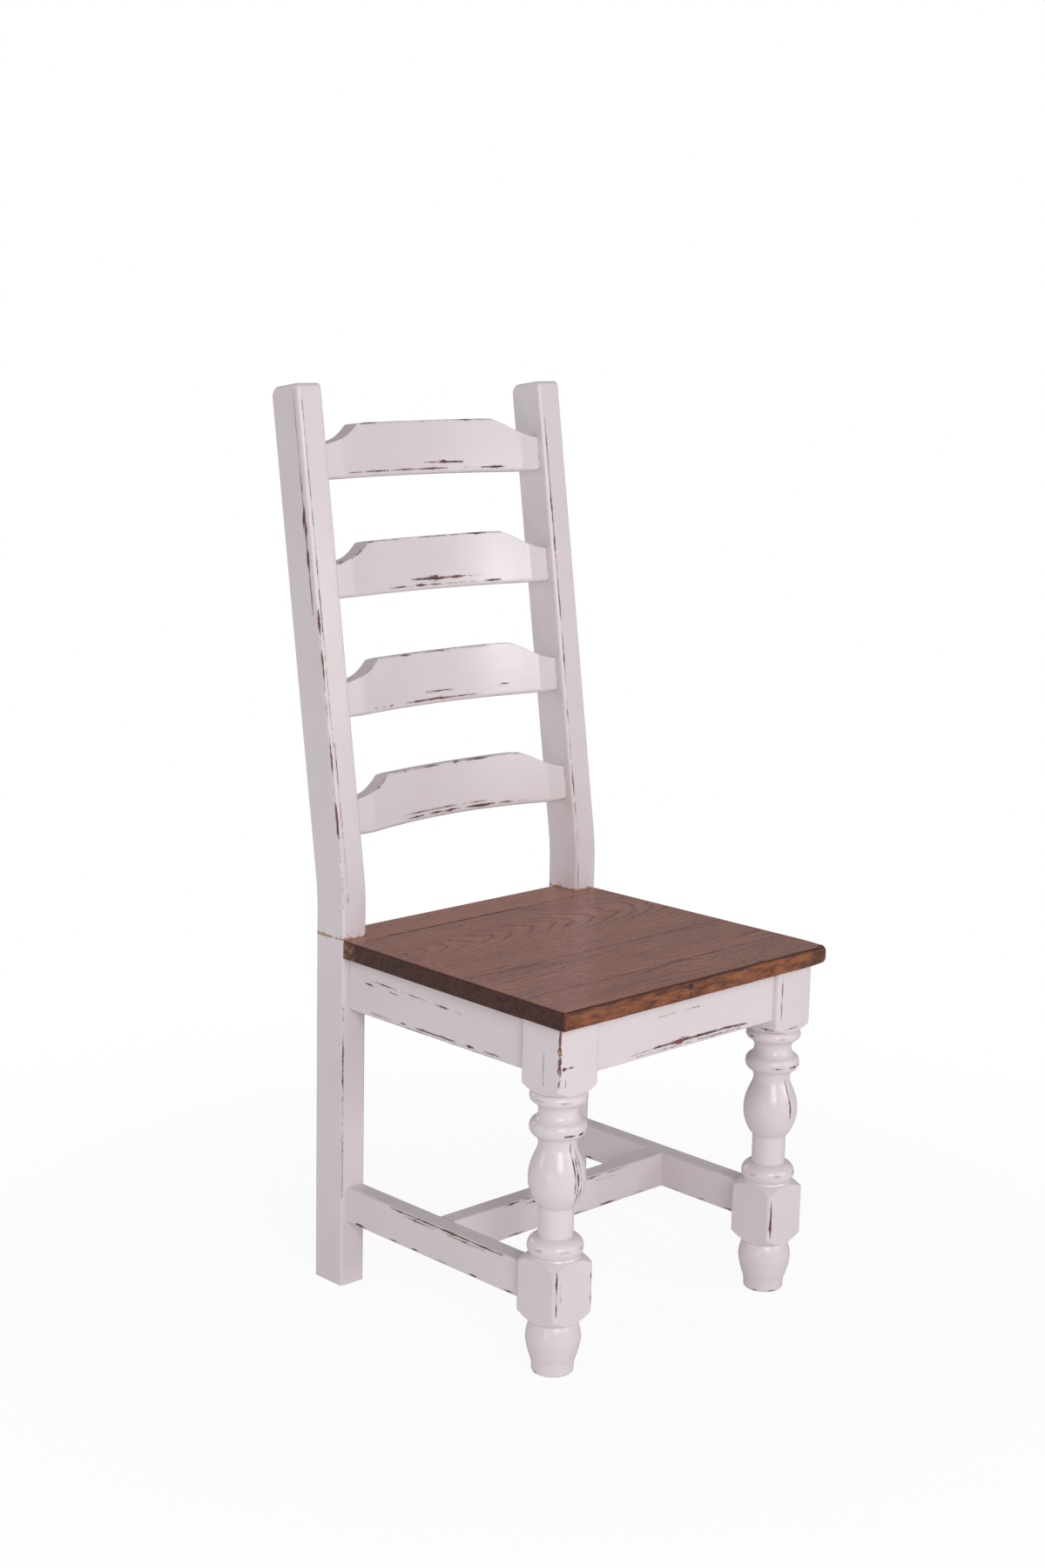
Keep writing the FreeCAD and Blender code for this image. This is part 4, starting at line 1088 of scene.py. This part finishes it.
def sawn_wood():
    """Bare sawn wood of the corner blocks."""
    finish = Finish("sawn_wood")
    place = finish.place()
    rings = finish.noise(finish.stretch(place, (60, 60, 5)), detail=4, roughness=0.6)
    saw = finish.noise(finish.stretch(place, (2, 2, 30), (4, 0, 0)), detail=2)
    colour = finish.mix(rings.eased(0.3, 0.7), (0.50, 0.33, 0.17), (0.36, 0.21, 0.10))
    colour = finish.mix(saw.eased(0.45, 0.8) * 0.3, colour, (0.20, 0.11, 0.05))
    return finish.cover(colour, 0.72 + rings * 0.15, saw * 0.2 + rings * 0.1)


def plain_steel():
    """Turned steel of the screws, slightly dulled."""
    finish = Finish("plain_steel")
    place = finish.place()
    dull = finish.noise(finish.stretch(place, (2, 2, 2)), detail=3)
    colour = finish.mix(dull.eased(0.4, 0.7), (0.56, 0.55, 0.52), (0.30, 0.28, 0.25))
    return finish.cover(colour, 0.32 + dull * 0.25, dull * 0.03, Metallic=1)


class CHAIR_OT_fixings(bpy.types.Operator):
    """Finishes the corner blocks and the screws under the seat"""

    bl_idname = "chair.fixings"
    bl_label = "Corner blocks and screws"

    def execute(self, context):
        wood = sawn_wood()
        steel = plain_steel()
        for end in ("front", "rear"):
            for side in ("left", "right"):
                wear("corner_block_" + end + "_" + side, wood)
        for name in ("corner_block_screws", "seat_screws"):
            wear(name, steel)
        return {"FINISHED"}


# The camera: its place in metres, and its turn, fall and lean in radians.
CAMERA_PLACE = (-2.08238, -2.11453, 1.23981)
CAMERA_YAW = 0.76748
CAMERA_PITCH = -0.19553
CAMERA_ROLL = 0.02117


def camera_turn():
    """Which way the camera is turned."""
    level = math.cos(CAMERA_PITCH)
    ahead = Vector((math.sin(CAMERA_YAW) * level, math.cos(CAMERA_YAW) * level, math.sin(CAMERA_PITCH)))
    upright = ahead.to_track_quat("-Z", "Y").to_matrix()
    return (Matrix.Rotation(-CAMERA_ROLL, 3, ahead) @ upright).to_euler()


def lamp(name, place, aim, size, power):
    """A square lamp; places and size in metres."""
    light = bpy.data.lights.new(name, "AREA")
    light.shape = "SQUARE"
    light.size = size
    light.energy = power
    item = bpy.data.objects.new(name, light)
    item.location = place
    item.rotation_euler = (Vector(aim) - Vector(place)).to_track_quat("-Z", "Y").to_euler()
    bpy.context.collection.objects.link(item)


class CHAIR_OT_stage(bpy.types.Operator):
    """Adds the floor, the lamps and the camera"""

    bl_idname = "chair.stage"
    bl_label = "Stage"

    def execute(self, context):
        stage = context.scene.chair_stage
        shape = bmesh.new()
        bmesh.ops.create_grid(shape, x_segments=1, y_segments=1, size=12)
        mesh = bpy.data.meshes.new("floor")
        shape.to_mesh(mesh)
        shape.free()
        floor = bpy.data.objects.new("floor", mesh)
        floor.location.z = -0.0005
        context.collection.objects.link(floor)
        finish = Finish("pale_floor")
        x, y, z = finish.split(finish.place())
        shaded = finish.add("ShaderNodeBsdfDiffuse", None, {"Color": (*stage.floor, 1)})
        white = finish.add("ShaderNodeEmission", None, {"Color": (1, 1, 1, 1), "Strength": 1})
        rays = finish.add("ShaderNodeLightPath")
        camera_ray = Amount(finish, rays.outputs["Is Camera Ray"])
        share = camera_ray * (distance(x, y).eased(400, 1300) * 0.08 + 0.92)
        seen = finish.add("ShaderNodeMixShader", None, {0: share, 1: shaded.outputs[0], 2: white.outputs[0]})
        finish.add("ShaderNodeOutputMaterial", None, {"Surface": seen.outputs[0]})
        mesh.materials.append(finish.material)

        world = bpy.data.worlds.new("studio")
        sky = Finish("studio", world)
        even = sky.add("ShaderNodeBackground", None, {"Color": (1, 1, 1, 1), "Strength": stage.sky})
        seen = sky.add("ShaderNodeBackground", None, {"Color": (1, 1, 1, 1), "Strength": 1})
        rays = sky.add("ShaderNodeLightPath")
        terms = {0: rays.outputs["Is Camera Ray"], 1: even.outputs[0], 2: seen.outputs[0]}
        choice = sky.add("ShaderNodeMixShader", None, terms)
        sky.add("ShaderNodeOutputWorld", None, {"Surface": choice.outputs[0]})
        context.scene.world = world

        middle = (0, 0, 0.55)
        lamp("key", (-1.9, -3.3, 1.9), middle, 1.5, stage.key)
        lamp("side", (-2.9, 1.5, 1.2), middle, 0.7, stage.side)
        lamp("rear", (-0.3, 3.8, 1.7), middle, 1.5, stage.rear)
        lamp("low", (-2.3, -0.9, 0.15), (0, 0, 0.3), 0.7, stage.low)
        lamp("front", (0.9, -3.9, 1.5), middle, 1.5, stage.front)
        lamp("highlight", (1.85, -3.1, 1.3), middle, 0.4, stage.spark)

        camera = bpy.data.cameras.new("camera")
        camera.lens = stage.lens
        camera.sensor_width = 36
        item = bpy.data.objects.new("camera", camera)
        item.rotation_euler = camera_turn()
        item.location = CAMERA_PLACE
        context.collection.objects.link(item)
        context.scene.camera = item
        context.scene.view_settings.view_transform = "Standard"
        return {"FINISHED"}


class CHAIR_PT_panel(bpy.types.Panel):
    """Everything that makes up the chair and its stage"""

    bl_idname = "CHAIR_PT_panel"
    bl_label = "Ladder-back chair"
    bl_space_type = "VIEW_3D"
    bl_region_type = "UI"
    bl_category = "Chair"

    def draw(self, context):
        layout = self.layout
        for group in [getattr(context.scene, name) for name in GROUPS]:
            box = layout.box()
            for name in group.__annotations__:
                box.prop(group, name)
        for operator in OPERATORS:
            layout.operator(operator.bl_idname)


GROUPS = {"chair_paint": ChairPaint, "chair_seat": ChairSeat, "chair_stage": ChairStage}
OPERATORS = (
    CHAIR_OT_rear_posts,
    CHAIR_OT_slats,
    CHAIR_OT_front_legs,
    CHAIR_OT_aprons,
    CHAIR_OT_stretchers,
    CHAIR_OT_seat,
    CHAIR_OT_fixings,
    CHAIR_OT_stage,
)


def register():
    for name, group in GROUPS.items():
        bpy.utils.register_class(group)
        setattr(bpy.types.Scene, name, PointerProperty(type=group))
    for operator in OPERATORS:
        bpy.utils.register_class(operator)
    bpy.utils.register_class(CHAIR_PT_panel)


def unregister():
    bpy.utils.unregister_class(CHAIR_PT_panel)
    for operator in reversed(OPERATORS):
        bpy.utils.unregister_class(operator)
    for name, group in GROUPS.items():
        delattr(bpy.types.Scene, name)
        bpy.utils.unregister_class(group)


def main():
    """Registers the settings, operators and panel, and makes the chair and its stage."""
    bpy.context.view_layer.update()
    register()
    for operator in OPERATORS:
        group, name = operator.bl_idname.split(".")
        getattr(getattr(bpy.ops, group), name)()


if __name__ == "__main__":
    main()
